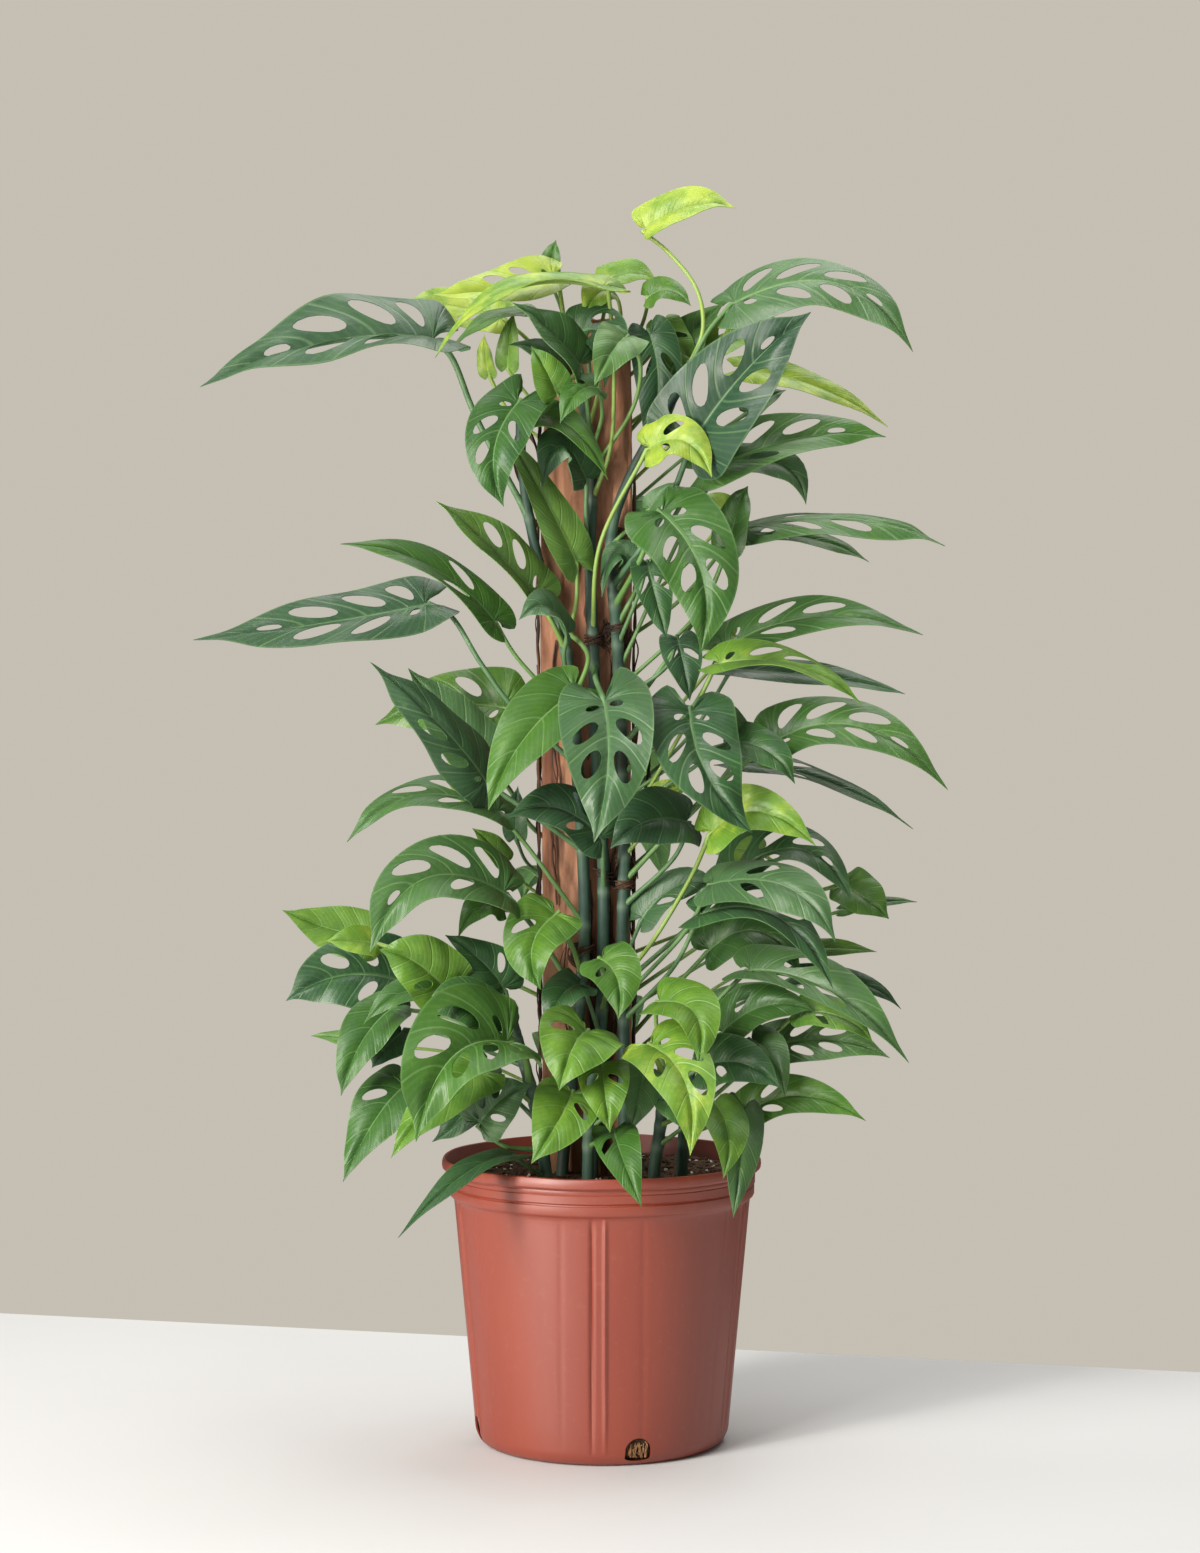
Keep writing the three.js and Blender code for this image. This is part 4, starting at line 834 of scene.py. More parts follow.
            leaf(row=985, via=[(700, 915, -32)], joint=(733, 875, -32), mid=(802, 850, -56),
                 tip=(853, 903, -76), wide=60, face=44, fold=12, holes=(1, 3), tint=0.22, grey=0.15),
            leaf(row=1022, via=[(675, 965, -46)], joint=(703, 914, -60), mid=(778, 918, -98),
                 tip=(833, 989, -122), wide=58, face=46, fold=16, holes=(0, 2), tint=0.22, grey=0.15),
            leaf(row=968, joint=(643, 918, -26), mid=(680, 885, -34), tip=(722, 890, -38), wide=38,
                 face=45, holes=(1, 0), tint=0.12, grey=0.4),
        ],
    },
    "rear_left": {
        "stem": [
            (560, 1235, 26), (560, 1174, 26), (566, 1000, 22), (562, 800, 20), (558, 600, 20),
            (556, 450, 20), (560, 380, 20), (566, 345, 18),
        ],
        "leaves": [
            leaf(row=400, via=[(532, 345, 20)], joint=(500, 318, 22), mid=(452, 305, 32),
                 tip=(407, 300, 38), wide=42, face=62, holes=(1, 1), tint=0.9, grey=0.05),
            leaf(row=345, via=[(562, 312, 14)], joint=(549, 274, 10), tip=(556, 240, 8), wide=22, face=70,
                 tint=0.5, grey=0.1),
            leaf(row=430, via=[(525, 392, 12)], joint=(508, 366, 6), tip=(514, 312, 0), wide=22, face=70,
                 tint=0.7, grey=0.05),
            leaf(row=352, via=[(548, 325, 6)], joint=(528, 313, -6), mid=(486, 322, -14),
                 tip=(452, 350, -22), wide=30, face=28, tint=0.62, grey=0.4),
            leaf(row=450, via=[(508, 410, 20)], joint=(489, 374, 18), tip=(484, 334, 14), wide=18,
                 face=60, tint=0.9, grey=0.05),
            leaf(row=800, via=[(530, 740, 18)], joint=(505, 708, 14), mid=(440, 706, 24),
                 tip=(375, 725, 32), wide=70, face=62, holes=(1, 2), tint=0.62, grey=0.05),
            leaf(row=850, via=[(530, 825, 20), (510, 790, 4)], joint=(487, 762, -12), mid=(446, 716, -14),
                 tip=(408, 668, -18), wide=56, face=66, tint=0.4, grey=0.6),
            leaf(row=835, via=[(522, 805, 26)], joint=(478, 790, 30), tip=(447, 760, 42), wide=40,
                 face=70, tint=0.92, grey=0.3),
            leaf(row=1010, via=[(470, 965, 14)], joint=(372, 938, 4), mid=(328, 928, 4),
                 tip=(282, 910, -6), wide=46, face=72, tint=0.7, grey=0.2),
            leaf(row=1100, via=[(460, 1055, 22)], joint=(365, 1044, 24), tip=(311, 1036, 30), wide=18,
                 face=50, tint=0.7, grey=0.2),
            leaf(row=885, via=[(530, 866, 20)], joint=(516, 836, -6), tip=(518, 786, -8), wide=22,
                 face=74, tint=0.16, grey=0.1),
            leaf(row=910, via=[(526, 885, 20)], joint=(504, 860, -4), tip=(472, 828, -12), wide=22,
                 face=60, tint=0.7, grey=0.1),
        ],
    },
    "rear_right": {
        "stem": [
            (622, 1235, 26), (622, 1174, 26), (618, 1000, 22), (620, 800, 20), (616, 600, 20),
            (612, 450, 20), (614, 380, 20), (622, 345, 18),
        ],
        "leaves": [
            leaf(row=362, via=[(644, 352, 16), (650, 343, -2)], joint=(650, 334, -20),
                 mid=(658, 392, -25), tip=(644, 462, -26), wide=42, face=86, fold=3, holes=(1, 1),
                 tint=0.15),
            leaf(row=346, via=[(638, 332, 18), (646, 312, 4)], joint=(650, 296, -12), mid=(670, 291, -20),
                 tip=(691, 306, -26), wide=30, face=60, lobe=0.2, tint=0.7),
            leaf(row=390, via=[(652, 352, 22)], joint=(662, 324, 8), mid=(680, 350, 4), tip=(702, 361, 4),
                 wide=34, face=66, holes=(1, 1), tint=0.68, grey=0.05),
            leaf(row=348, via=[(618, 300, 18)], joint=(605, 280, 8), mid=(632, 273, 4), tip=(658, 282, 0),
                 wide=34, face=44, tint=0.82, grey=0.05),
            leaf(row=450, via=[(648, 410, 14)], joint=(670, 378, 10), mid=(690, 336, 12),
                 tip=(725, 303, 8), wide=44, face=62, holes=(1, 0), tint=0.45),
            leaf(row=435, via=[(664, 396, 22)], joint=(706, 346, 18), mid=(746, 328, 10),
                 tip=(783, 321, 4), wide=36, face=66, holes=(0, 1), tint=0.85),
            leaf(row=500, via=[(690, 425, 6)], joint=(745, 370, -2), mid=(820, 388, -8),
                 tip=(888, 427, -16), wide=30, face=58, tint=0.88),
            leaf(row=518, via=[(700, 445, 22)], joint=(748, 412, 18), tip=(786, 390, 20), wide=22,
                 face=60, tint=0.4, grey=0.45),
            leaf(row=645, via=[(680, 600, 10)], joint=(735, 538, 6), mid=(805, 538, 0),
                 tip=(869, 562, -8), wide=38, face=28, holes=(1, 1), tint=0.45, grey=0.1),
            leaf(row=625, via=[(690, 560, 24)], joint=(728, 510, 24), tip=(690, 500, 28), wide=26,
                 face=60, tint=0.8, grey=0.3),
            leaf(row=800, via=[(690, 735, 12)], joint=(735, 670, 8), mid=(830, 678, 0),
                 tip=(905, 694, -8), wide=32, face=34, tint=0.15, grey=0.1),
            leaf(row=780, via=[(672, 715, 24)], joint=(735, 636, 18), tip=(700, 651, 22), wide=26,
                 face=60, tint=0.8, grey=0.3),
            leaf(row=880, via=[(700, 805, 10)], joint=(738, 763, 2), mid=(828, 782, -4),
                 tip=(913, 829, -16), wide=34, face=30, holes=(1, 1), tint=0.16, grey=0.1),
            leaf(row=960, via=[(790, 880, 24)], joint=(758, 852, 20), tip=(702, 846, 26), wide=28,
                 face=70, tint=0.84, grey=0.35),
            leaf(row=1000, via=[(760, 910, 6)], joint=(845, 886, -8), tip=(889, 919, -22), wide=42,
                 face=62, tint=0.6, grey=0.1),
            leaf(row=1015, via=[(760, 934, 16)], joint=(845, 910, 8), tip=(917, 902, -2), wide=16,
                 face=45, tint=0.45, grey=0.1),
            leaf(row=1050, via=[(672, 990, 6)], joint=(710, 950, -10), mid=(760, 932, -23),
                 tip=(803, 978, -32), wide=50, face=48, tint=0.42, grey=0.1),
            leaf(row=1080, via=[(720, 1015, 12)], joint=(800, 976, 6), mid=(858, 982, 2),
                 tip=(901, 1009, -6), wide=24, face=45, tint=0.16, grey=0.1),
            leaf(row=1065, via=[(720, 985, 22)], joint=(800, 950, 18), tip=(877, 952, 12), wide=18,
                 face=55, tint=0.7, grey=0.15),
        ],
    },
    "low_left": {
        "stem": [
            (548, 1235, -58), (546, 1174, -60), (536, 1110, -66), (522, 1055, -72), (512, 1018, -74),
        ],
        "leaves": [
            leaf(row=1032, via=[(455, 988, -40)], joint=(400, 981, -28), mid=(340, 976, -44),
                 tip=(286, 1001, -54), wide=74, face=62, fold=8, holes=(2, 1), tint=0.15, grey=0.1),
            leaf(row=1024, via=[(450, 966, -52)], joint=(374, 943, -50), tip=(326, 941, -60), wide=28,
                 face=60, tint=0.85, grey=0.05),
            leaf(row=1040, via=[(480, 1012, -84)], joint=(447, 992, -90), mid=(415, 962, -104),
                 tip=(379, 950, -110), wide=58, face=66, holes=(0, 1), tint=0.68),
            leaf(row=1050, via=[(480, 1020, -72)], joint=(450, 996, -72), mid=(404, 992, -86),
                 tip=(363, 1025, -94), wide=34, face=52, tint=0.45, grey=0.05),
            leaf(row=1058, via=[(450, 1018, -62)], joint=(390, 1010, -60), mid=(360, 1045, -82),
                 tip=(341, 1096, -94), wide=46, face=62, fold=14, tint=0.42, grey=0.1),
            leaf(row=1068, via=[(440, 1034, -48)], joint=(402, 1032, -44), tip=(372, 1068, -58), wide=36,
                 face=60, tint=0.15, grey=0.1),
            leaf(row=1085, via=[(524, 1055, -90)], joint=(507, 1043, -106), mid=(450, 1060, -146),
                 tip=(416, 1142, -164), wide=98, face=58, fold=24, holes=(2, 3), tint=0.55, grey=0.05),
            leaf(row=1060, via=[(515, 1040, -86)], joint=(498, 1032, -94), mid=(460, 1002, -106),
                 tip=(424, 1018, -112), wide=52, face=52, tint=0.3, grey=0.05),
            leaf(row=1104, via=[(505, 1082, -80)], joint=(482, 1074, -86), mid=(432, 1108, -110),
                 tip=(391, 1158, -126), wide=50, face=60, tint=0.66),
            leaf(row=1090, via=[(460, 1078, -64)], joint=(405, 1086, -60), mid=(374, 1122, -82),
                 tip=(343, 1182, -96), wide=56, face=62, holes=(1, 0), tint=0.42, grey=0.1),
            leaf(row=1120, via=[(505, 1090, -54)], joint=(478, 1072, -44), mid=(466, 1110, -56),
                 tip=(432, 1142, -62), wide=46, face=64, tint=0.15, grey=0.1),
            leaf(row=1150, via=[(505, 1146, -74)], joint=(480, 1123, -80), mid=(502, 1099, -86),
                 tip=(531, 1085, -84), wide=48, face=70, holes=(1, 2), tint=0.36, grey=0.5),
            leaf(row=1178, via=[(530, 1168, -74)], joint=(512, 1156, -88), mid=(462, 1176, -142),
                 tip=(398, 1238, -192), wide=28, face=34, fold=10, tint=0.2, grey=0.15),
            leaf(row=1018, joint=(503, 988, -64), mid=(480, 960, -68), tip=(445, 935, -68), wide=50,
                 face=55, holes=(1, 0), tint=0.18, grey=0.1),
        ],
    },
    "low_middle": {
        "stem": [
            (588, 1235, -62), (588, 1174, -64), (590, 1110, -72), (594, 1060, -80),
        ],
        "leaves": [
            leaf(row=1070, joint=(586, 1032, -108), mid=(572, 1050, -136), tip=(559, 1091, -150), wide=72,
                 face=80, lobe=0.28, holes=(1, 0), tint=0.66),
            leaf(row=1090, via=[(600, 1076, -90)], joint=(602, 1066, -106), mid=(605, 1095, -132),
                 tip=(610, 1133, -142), wide=44, face=80, holes=(1, 1), tint=0.7),
            leaf(row=1115, joint=(572, 1094, -108), mid=(558, 1122, -138), tip=(531, 1164, -150), wide=58,
                 face=76, lobe=0.16, holes=(0, 1), tint=0.68),
            leaf(row=1145, via=[(605, 1138, -92)], joint=(614, 1131, -116), mid=(623, 1160, -156),
                 tip=(642, 1208, -174), wide=38, face=76, holes=(1, 0), tint=0.45),
            leaf(row=1128, via=[(624, 1100, -82)], joint=(644, 1072, -90), mid=(638, 1100, -104),
                 tip=(630, 1132, -108), wide=36, face=76, tint=0.35, grey=0.5),
        ],
    },
    "low_right": {
        "stem": [
            (652, 1235, -56), (654, 1174, -58), (662, 1110, -64), (662, 1065, -76),
        ],
        "leaves": [
            leaf(row=1070, joint=(652, 1046, -130), mid=(686, 1085, -172), tip=(690, 1156, -188), wide=60,
                 face=76, lobe=0.16, holes=(1, 2), tint=0.82),
            leaf(row=1065, via=[(656, 1022, -90)], joint=(660, 1002, -108), mid=(696, 1016, -142),
                 tip=(698, 1068, -158), wide=52, face=70, fold=14, tint=0.7),
            leaf(row=1090, via=[(684, 1078, -78)], joint=(704, 1066, -84), mid=(744, 1064, -106),
                 tip=(781, 1089, -120), wide=48, face=66, holes=(1, 0), tint=0.18, grey=0.1),
            leaf(row=1080, via=[(712, 1058, -66)], joint=(752, 1040, -70), mid=(772, 1058, -90),
                 tip=(786, 1098, -102), wide=36, face=70, holes=(1, 0), tint=0.4, grey=0.45),
            leaf(row=1125, via=[(690, 1112, -98)], joint=(714, 1103, -116), mid=(728, 1135, -148),
                 tip=(723, 1179, -162), wide=40, face=70, tint=0.68),
            leaf(row=1145, via=[(700, 1118, -84)], joint=(743, 1108, -92), mid=(740, 1160, -130),
                 tip=(733, 1218, -144), wide=36, face=76, holes=(1, 0), tint=0.35, grey=0.45),
            leaf(row=1110, joint=(666, 1100, -96), tip=(698, 1136, -112), wide=26, face=62, tint=0.42,
                 grey=0.1),
        ],
    },
    "low_side": {
        "stem": [
            (684, 1235, -28), (682, 1174, -30), (686, 1110, -34), (692, 1065, -38),
        ],
        "leaves": [
            leaf(row=1082, via=[(708, 1015, -42)], joint=(750, 971, -54), mid=(832, 992, -90),
                 tip=(909, 1063, -110), wide=54, face=44, fold=20, holes=(2, 1), tint=0.42, grey=0.4),
            leaf(row=1095, joint=(723, 1032, -60), mid=(766, 1006, -76), tip=(814, 1011, -84), wide=50,
                 face=42, holes=(0, 1), tint=0.45, grey=0.1),
            leaf(row=1110, via=[(765, 1042, -58)], joint=(802, 1012, -74), mid=(842, 1018, -88),
                 tip=(873, 1043, -96), wide=38, face=52, holes=(1, 0), tint=0.68, grey=0.05),
            leaf(row=1122, via=[(735, 1078, -38)], joint=(768, 1049, -42), mid=(830, 1040, -60),
                 tip=(890, 1058, -70), wide=44, face=58, holes=(2, 2), tint=0.55, grey=0.45),
            leaf(row=1068, joint=(716, 1002, -18), tip=(800, 986, -24), wide=22, face=45, tint=0.4,
                 grey=0.45),
            leaf(row=1142, via=[(705, 1128, -56)], joint=(743, 1117, -60), mid=(800, 1096, -84),
                 tip=(866, 1121, -98), wide=44, face=52, holes=(1, 1), tint=0.62, grey=0.05),
        ],
    },
}

print("leaves from the photograph", sum(len(vine["leaves"]) for vine in vines.values()))

# %% [markdown]
# The photograph shows nothing of the back. There the two rear stems carry fifteen more leaves by a
# rule: every 36 mm up the pole one leaf, by turns left and right of the back, with drawn reach,
# length and droop. Each number is drawn from its own seed, so that a leaf stays where it is when
# another one is added. The rule's lengths are in millimetres.

# %% The leaves at the back
back_count, back_lowest, back_spacing = 15, 330, 36
back_most_turn, back_least_share = 20, 0.15
back_nearest, back_farthest = 62, 116
back_shortest, back_longer = 74, 34
back_least_droop, back_more_droop = 26, 52
back_stalk_drop, back_stem_depth = 60, 22
back_seed, draws_each = 91, 4
pole_centre = (-10, 8)
word = 0xFFFFFFFF


def draw_seeded(seed):
    """A number from 0 to 1 that mixes the bits of its seed."""
    bits = (seed + 0x6D2B79F5) & word
    bits = ((bits ^ (bits >> 15)) * (bits | 1)) & word
    bits ^= (bits + (((bits ^ (bits >> 7)) * (bits | 61)) & word)) & word
    return ((bits ^ (bits >> 14)) & word) / (word + 1)


def back_spot(turn, radius, high_at):
    """A place in metres at a turn and a radius round the pole and a height, in millimetres."""
    x, y = pole_centre
    return np.array([x + radius * math.sin(turn), y + radius * math.cos(turn), high_at]) / 1000


for i in range(back_count):
    draws = [draw_seeded(back_seed + draws_each * i + k) for k in range(draws_each)]
    draw_turn, draw_reach, draw_length, draw_droop = draws
    turn_share = back_least_share + (1 - back_least_share) * draw_turn
    turn = math.radians(back_most_turn * (1 if i % 2 else -1) * turn_share)
    high_at = back_lowest + back_spacing * i
    reach = back_nearest + (back_farthest - back_nearest) * draw_reach
    long = back_shortest + back_longer * draw_length
    droop = back_least_droop + back_more_droop * draw_droop
    vines["rear_left" if turn < 0 else "rear_right"]["leaves"].append(
        leaf(
            row=row_of((0, back_stem_depth / 1000, (high_at - back_stalk_drop) / 1000)),
            via=[back_spot(turn, 0.62 * reach, high_at - 10)],
            joint=back_spot(turn, reach, high_at),
            mid=back_spot(turn, reach + 0.56 * long, high_at + 6 - 0.25 * droop),
            tip=back_spot(turn, reach + long, high_at - droop),
            wide=44 + 10 * draw_length,
            face=68 + 14 * draw_turn,
            azimuth=turn,
            holes=(0, 1),
            tint=0.3 + 0.3 * draw_reach,
            grey=0.1,
        )
    )
print("leaves with those at the back", sum(len(vine["leaves"]) for vine in vines.values()))

# %% [markdown]
# ## The blade
# Half a blade is a grid of faces, laid between side veins. Across the grid runs from the midrib to
# the margin, along it from vein to vein, so a vein is always an edge of faces and a hole is a block
# of them, taken out and rounded. Holes could be clear spots of the finish instead, but then their
# edges would have no thickness. One half is modelled for each number of holes and each fineness;
# every leaf gets its own copy, bent over its own midrib.

# %% Half a blade
side_veins = [  # along and across where it meets the margin, along at the midrib, columns after it
    (-0.55, 0.20, 0.0, 2), (-1.0, 0.50, 0.0, 3), (-0.5, 0.84, 0.0, 4), (0.06, 0.985, 0.0, 6),
    (0.315, 0.955, 0.085, 6), (0.54, 0.78, 0.29, 6), (0.765, 0.44, 0.57, 6), (0.915, 0.12, 0.80, 3),
    (1.0, 0.0, 1.0, 0),
]
hole_order = [4, 5, 3, 6]
long_hole, small_hole = (0.2, 0.8, 0.29), (0.1, 0.4, 0.22)  # share near, share far, width
slack = 0.01
vein_lean = 1.4


def catmull(points, at):
    """Catmull-Rom interpolation of evenly numbered points at the number at."""
    points = np.asarray(points, float)
    i = np.clip(np.floor(at).astype(int), 0, len(points) - 2)
    t = (at - i)[:, None]
    padded = np.vstack([2 * points[0] - points[1], points, 2 * points[-1] - points[-2]])
    a, b, c, d = padded[i], padded[i + 1], padded[i + 2], padded[i + 3]
    return 0.5 * (
        2 * b + (c - a) * t + (2 * a - 5 * b + 4 * c - d) * t**2 + (3 * b - a - 3 * c + d) * t**3
    )


def half_blade(holes, fine):
    """Corners as (vein number, share of the way to the margin), and the faces between them."""
    columns = [max(1, round(c * (1 if fine else 0.5))) for *_, c in side_veins[:-1]]
    rows = 10 if fine else 6
    starts = np.concatenate([[0], np.cumsum(columns)])
    total = int(starts[-1])
    bpy.ops.mesh.primitive_grid_add(x_subdivisions=total, y_subdivisions=rows, size=1)
    grid = bpy.context.object

    def grid_marks():
        """The vein number and the share of each corner that the grid has now."""
        across, out = corners_of(grid).T[:2] + 0.5
        number = np.interp(np.rint(across * total), starts, np.arange(len(starts)))
        return number, np.rint(out * rows) / rows

    vein, share = grid_marks()
    blocks = [(span, *long_hole) for span in hole_order[:holes]]
    if holes > 1 and fine:
        blocks.append((hole_order[holes], *small_hole))
    faces = [tuple(p.vertices) for p in grid.data.polygons]
    middles = np.array([(vein[list(f)].mean(), share[list(f)].mean()) for f in faces])
    gone = np.zeros(len(faces), bool)
    for span, near, far, _ in blocks:
        inside = np.abs(middles[:, 0] - span - 0.5) < 0.5 - 1 / columns[span] + slack
        gone |= inside & (middles[:, 1] > near - slack) & (middles[:, 1] < far + slack)
    edit(grid)
    mesh = bmesh.from_edit_mesh(grid.data)
    bmesh.ops.delete(mesh, geom=[f for f in mesh.faces if gone[f.index]], context="FACES")
    bmesh.update_edit_mesh(grid.data)
    leave_edit()
    vein, share = grid_marks()
    for span, near, far, wide in blocks:
        half_wide, half_far, middle = 0.5 - 1 / columns[span], (far - near) / 2, (far + near) / 2
        right, out = (vein - span - 0.5) / half_wide, (share - middle) / half_far
        ring = np.abs(np.maximum(np.abs(right), np.abs(out)) - 1) < 2 * slack
        stretch = np.maximum(np.hypot(right, out), 1e-6)
        vein = np.where(ring, span + 0.5 + wide * right / stretch, vein)
        share = np.where(ring, middle + half_far * out / stretch, share)
    faces = [tuple(p.vertices) for p in grid.data.polygons]
    bpy.data.objects.remove(grid)
    return vein, share, faces


half_blades = {}


def blade_half(holes, fine):
    """Half a blade, modelled the first time that it is asked for."""
    if (holes, fine) not in half_blades:
        half_blades[holes, fine] = half_blade(holes, fine)
    return half_blades[holes, fine]


def flat_places(vein, share, lobe):
    """Where a corner of half a blade lies: along the midrib and across from it."""
    ends = [(along * lobe if along < 0 else along, across) for along, across, *_ in side_veins]
    margin = catmull(ends, vein)
    midrib = np.interp(vein, range(len(side_veins)), [v[2] for v in side_veins])
    along = midrib + (margin[:, 0] - midrib) * share**vein_lean
    return along, np.maximum(margin[:, 1], 0) * share


def unit(vector):
    """The vector, or each row of vectors, at length 1."""
    return vector / np.maximum(np.linalg.norm(vector, axis=-1, keepdims=True), 1e-9)


def at_place(spot):
    """A place in metres, of a pixel with a depth or of a place in metres."""
    return spot if isinstance(spot, np.ndarray) else place(spot)


usual_arch = 0.08


class Blade:
    """A leaf's bent surface: it takes (along, across, lift) to a place in metres."""

    def __init__(self, fields):
        self.joint, self.tip = at_place(fields["joint"]), at_place(fields["tip"])
        chord = unit(self.tip - self.joint)
        toward = np.array([0.0, -1.0, 0.0])
        if fields["azimuth"] is not None:
            toward = np.array([math.sin(fields["azimuth"]), math.cos(fields["azimuth"]), 0])
        shown = unit(toward - chord * toward.dot(chord))
        level = np.cross(chord, shown)
        if level.dot((0.3 * np.sign(self.tip[0]), 0, 1)) < 0:
            level = -level
        face = math.radians(fields["face"])
        self.normal = level * math.cos(face) + shown * math.sin(face)
        self.length = np.linalg.norm(self.tip - self.joint)
        middle = (self.joint + self.tip) / 2 + self.normal * usual_arch * self.length
        if fields["mid"] is not None:
            middle = at_place(fields["mid"])
        self.handle = 2 * middle - 0.5 * self.joint - 0.5 * self.tip
        self.fold = math.radians(fields["fold"])
        self.half = fields["wide"] / 2000

    def frame_at(self, along):
        """The midrib's point, its direction, the blade's up side and its right side."""
        at = np.maximum(0, along)[:, None]
        point = self.joint * (1 - at) ** 2 + self.handle * 2 * at * (1 - at) + self.tip * at**2
        ahead = -2 * (1 - at) * self.joint + 2 * (1 - 2 * at) * self.handle + 2 * at * self.tip
        back = np.minimum(0, along)[:, None] * self.length
        ahead_unit = unit(ahead)
        point = point + back * ahead_unit
        out = unit(self.normal - ahead_unit * (ahead_unit @ self.normal)[:, None])
        return point, ahead_unit, out, np.cross(out, ahead_unit)

    def places(self, along, across, lift):
        """The places of arrays of along, across and lift."""
        point, _, out, side = self.frame_at(along)
        rise = np.abs(across) * self.half * math.sin(self.fold) + lift
        return point + side * (across * self.half * math.cos(self.fold))[:, None] + out * rise[:, None]


fine_from, fine_holes = 40, 2
quilt, dome, wave, widest_twist = 0.018, 0.030, 0.042, 0.34
tip_fade, rib_fade, wave_beat = 0.2, 0.1, 2.1


def blade_corners(fields, blade, draw):
    """Both halves of a leaf's blade: places, (vein, share) and faces."""
    fine = fields["wide"] > fine_from or sum(fields["holes"]) > fine_holes
    wide = fields["wide"] / 1000
    places, marks, faces = [], [], []
    phase, beat = draw.uniform(0, 6.3), draw.uniform(0.8, 1.3)
    twist = draw.uniform(-widest_twist, widest_twist)
    for sign, holes in zip((-1, 1), fields["holes"]):
        vein, share, half_faces = blade_half(holes, fine)
        along, across = flat_places(vein, share, fields["lobe"])
        swell = np.sin(np.pi * (vein % 1)) * np.sin(np.pi * np.minimum(share, 0.98)) ** 0.7
        fade = np.clip((1 - along) / tip_fade, 0, 1) * np.clip(across / rib_fade, 0, 1)
        lift = wide * fade * (
            quilt * swell
            + dome * np.sin(np.pi * np.clip(share, 0, 1))
            + twist * sign * across * np.clip(along, 0, 1) / 2
            + wave * share**3 * np.sin(beat * wave_beat * vein + phase + sign)
        )
        start = sum(len(p) for p in places)
        places.append(blade.places(along, sign * across, lift))
        marks.append(np.stack([vein, sign * share], axis=1))
        faces += [tuple(i + start for i in face[::sign]) for face in half_faces]
    return np.vstack(places), np.vstack(marks), faces


print("half a blade", [len(blade_half(n, f)[2]) for n in (0, 1, 2) for f in (True, False)], "faces")

# %% [markdown]
# ## Stems and stalks
# A stem is a round tube with a low swollen ring wherever a leaf leaves it. A stalk leaves the stem
# in a sheath, thins, swells at the knee and goes on as the midrib, sunk in the blade, to the tip.
# A bezier curve would need handles at every bend. Each tube is a poly curve through many places,
# with its own radius at each, turned into a mesh.

# %% Helpers for tubes
stem_radius, stem_step, stalk_step = 0.0052, 0.003, 0.005
span_points = 33


def smooth_path(points, step):
    """Centripetal Catmull-Rom through the points, as places a step apart."""
    points = [np.asarray(p, float) for p in points]
    ends = [2 * points[0] - points[1], *points, 2 * points[-1] - points[-2]]
    found = []
    for a, b, c, d in zip(ends, ends[1:], ends[2:], ends[3:]):
        gaps = [max(np.linalg.norm(q - p), 1e-6) ** 0.5 for p, q in ((a, b), (b, c), (c, d))]
        knots = np.cumsum([0, *gaps])
        t = np.linspace(knots[1], knots[2], span_points)[:-1, None]
        one = (a * (knots[1] - t) + b * (t - knots[0])) / (knots[1] - knots[0])
        two = (b * (knots[2] - t) + c * (t - knots[1])) / (knots[2] - knots[1])
        three = (c * (knots[3] - t) + d * (t - knots[2])) / (knots[3] - knots[2])
        left = (one * (knots[2] - t) + two * (t - knots[0])) / (knots[2] - knots[0])
        right = (two * (knots[3] - t) + three * (t - knots[1])) / (knots[3] - knots[1])
        found.append((left * (knots[2] - t) + right * (t - knots[1])) / (knots[2] - knots[1]))
    path = np.vstack([*found, points[-1][None]])
    run = np.concatenate([[0], np.cumsum(np.linalg.norm(np.diff(path, axis=0), axis=1))])
    count = max(2, round(run[-1] / step) + 1)
    even = np.linspace(0, run[-1], count)
    return np.stack([np.interp(even, run, path[:, k]) for k in range(3)], axis=1)


def at_row(path, row):
    """The place of a path that is nearest to a pixel row."""
    return path[np.argmin([abs(row_of(p) - row) for p in path])]


def tubes(name, paths, round_steps):
    """One mesh of round tubes, each (places, radii); their sides are 4 + 2 * round_steps.

    A point's radius multiplies the curve's bevel depth, which is a millimetre here.
    """
    data = bpy.data.curves.new(name, "CURVE")
    data.dimensions = "3D"
    data.bevel_depth = 0.001
    data.bevel_resolution = round_steps
    for places, radii in paths:
        spline = data.splines.new("POLY")
        spline.points.add(len(places) - 1)
        flat = np.column_stack([places, np.ones(len(places))])
        spline.points.foreach_set("co", flat.ravel())
        spline.points.foreach_set("radius", np.asarray(radii) * 1000)
    piece = bpy.data.objects.new(name, data)
    bpy.context.scene.collection.objects.link(piece)
    pick(piece)
    bpy.ops.object.convert(target="MESH")
    piece = bpy.context.object
    edit(piece)
    bpy.ops.mesh.select_all(action="SELECT")
    bpy.ops.mesh.fill_holes(sides=0)
    bpy.ops.mesh.normals_make_consistent(inside=False)
    leave_edit()
    return piece


def set_tone(piece, values):
    """Writes (tint, grey, own number, 1) on each corner; a tube's rings each take one of them."""
    values = np.repeat(np.asarray(values, float), len(piece.data.vertices) // len(values), axis=0)
    layer = piece.data.attributes.new("tone", "FLOAT_COLOR", "POINT")
    layer.data.foreach_set("color", values.ravel())


# %% Helpers for stalks
sheath_more, sheath_long = 0.62, 0.010
knee_more, knee_long, knee_off = 0.28, 0.007, 0.0015
stalk_least, stalk_wide_part, stalk_share = 1.3, 60, 0.88
rib_step, rib_end, rib_sunk = 0.006, 0.97, 0.55
rib_start, rib_tip, rib_taper = 0.70, 0.10, 0.9


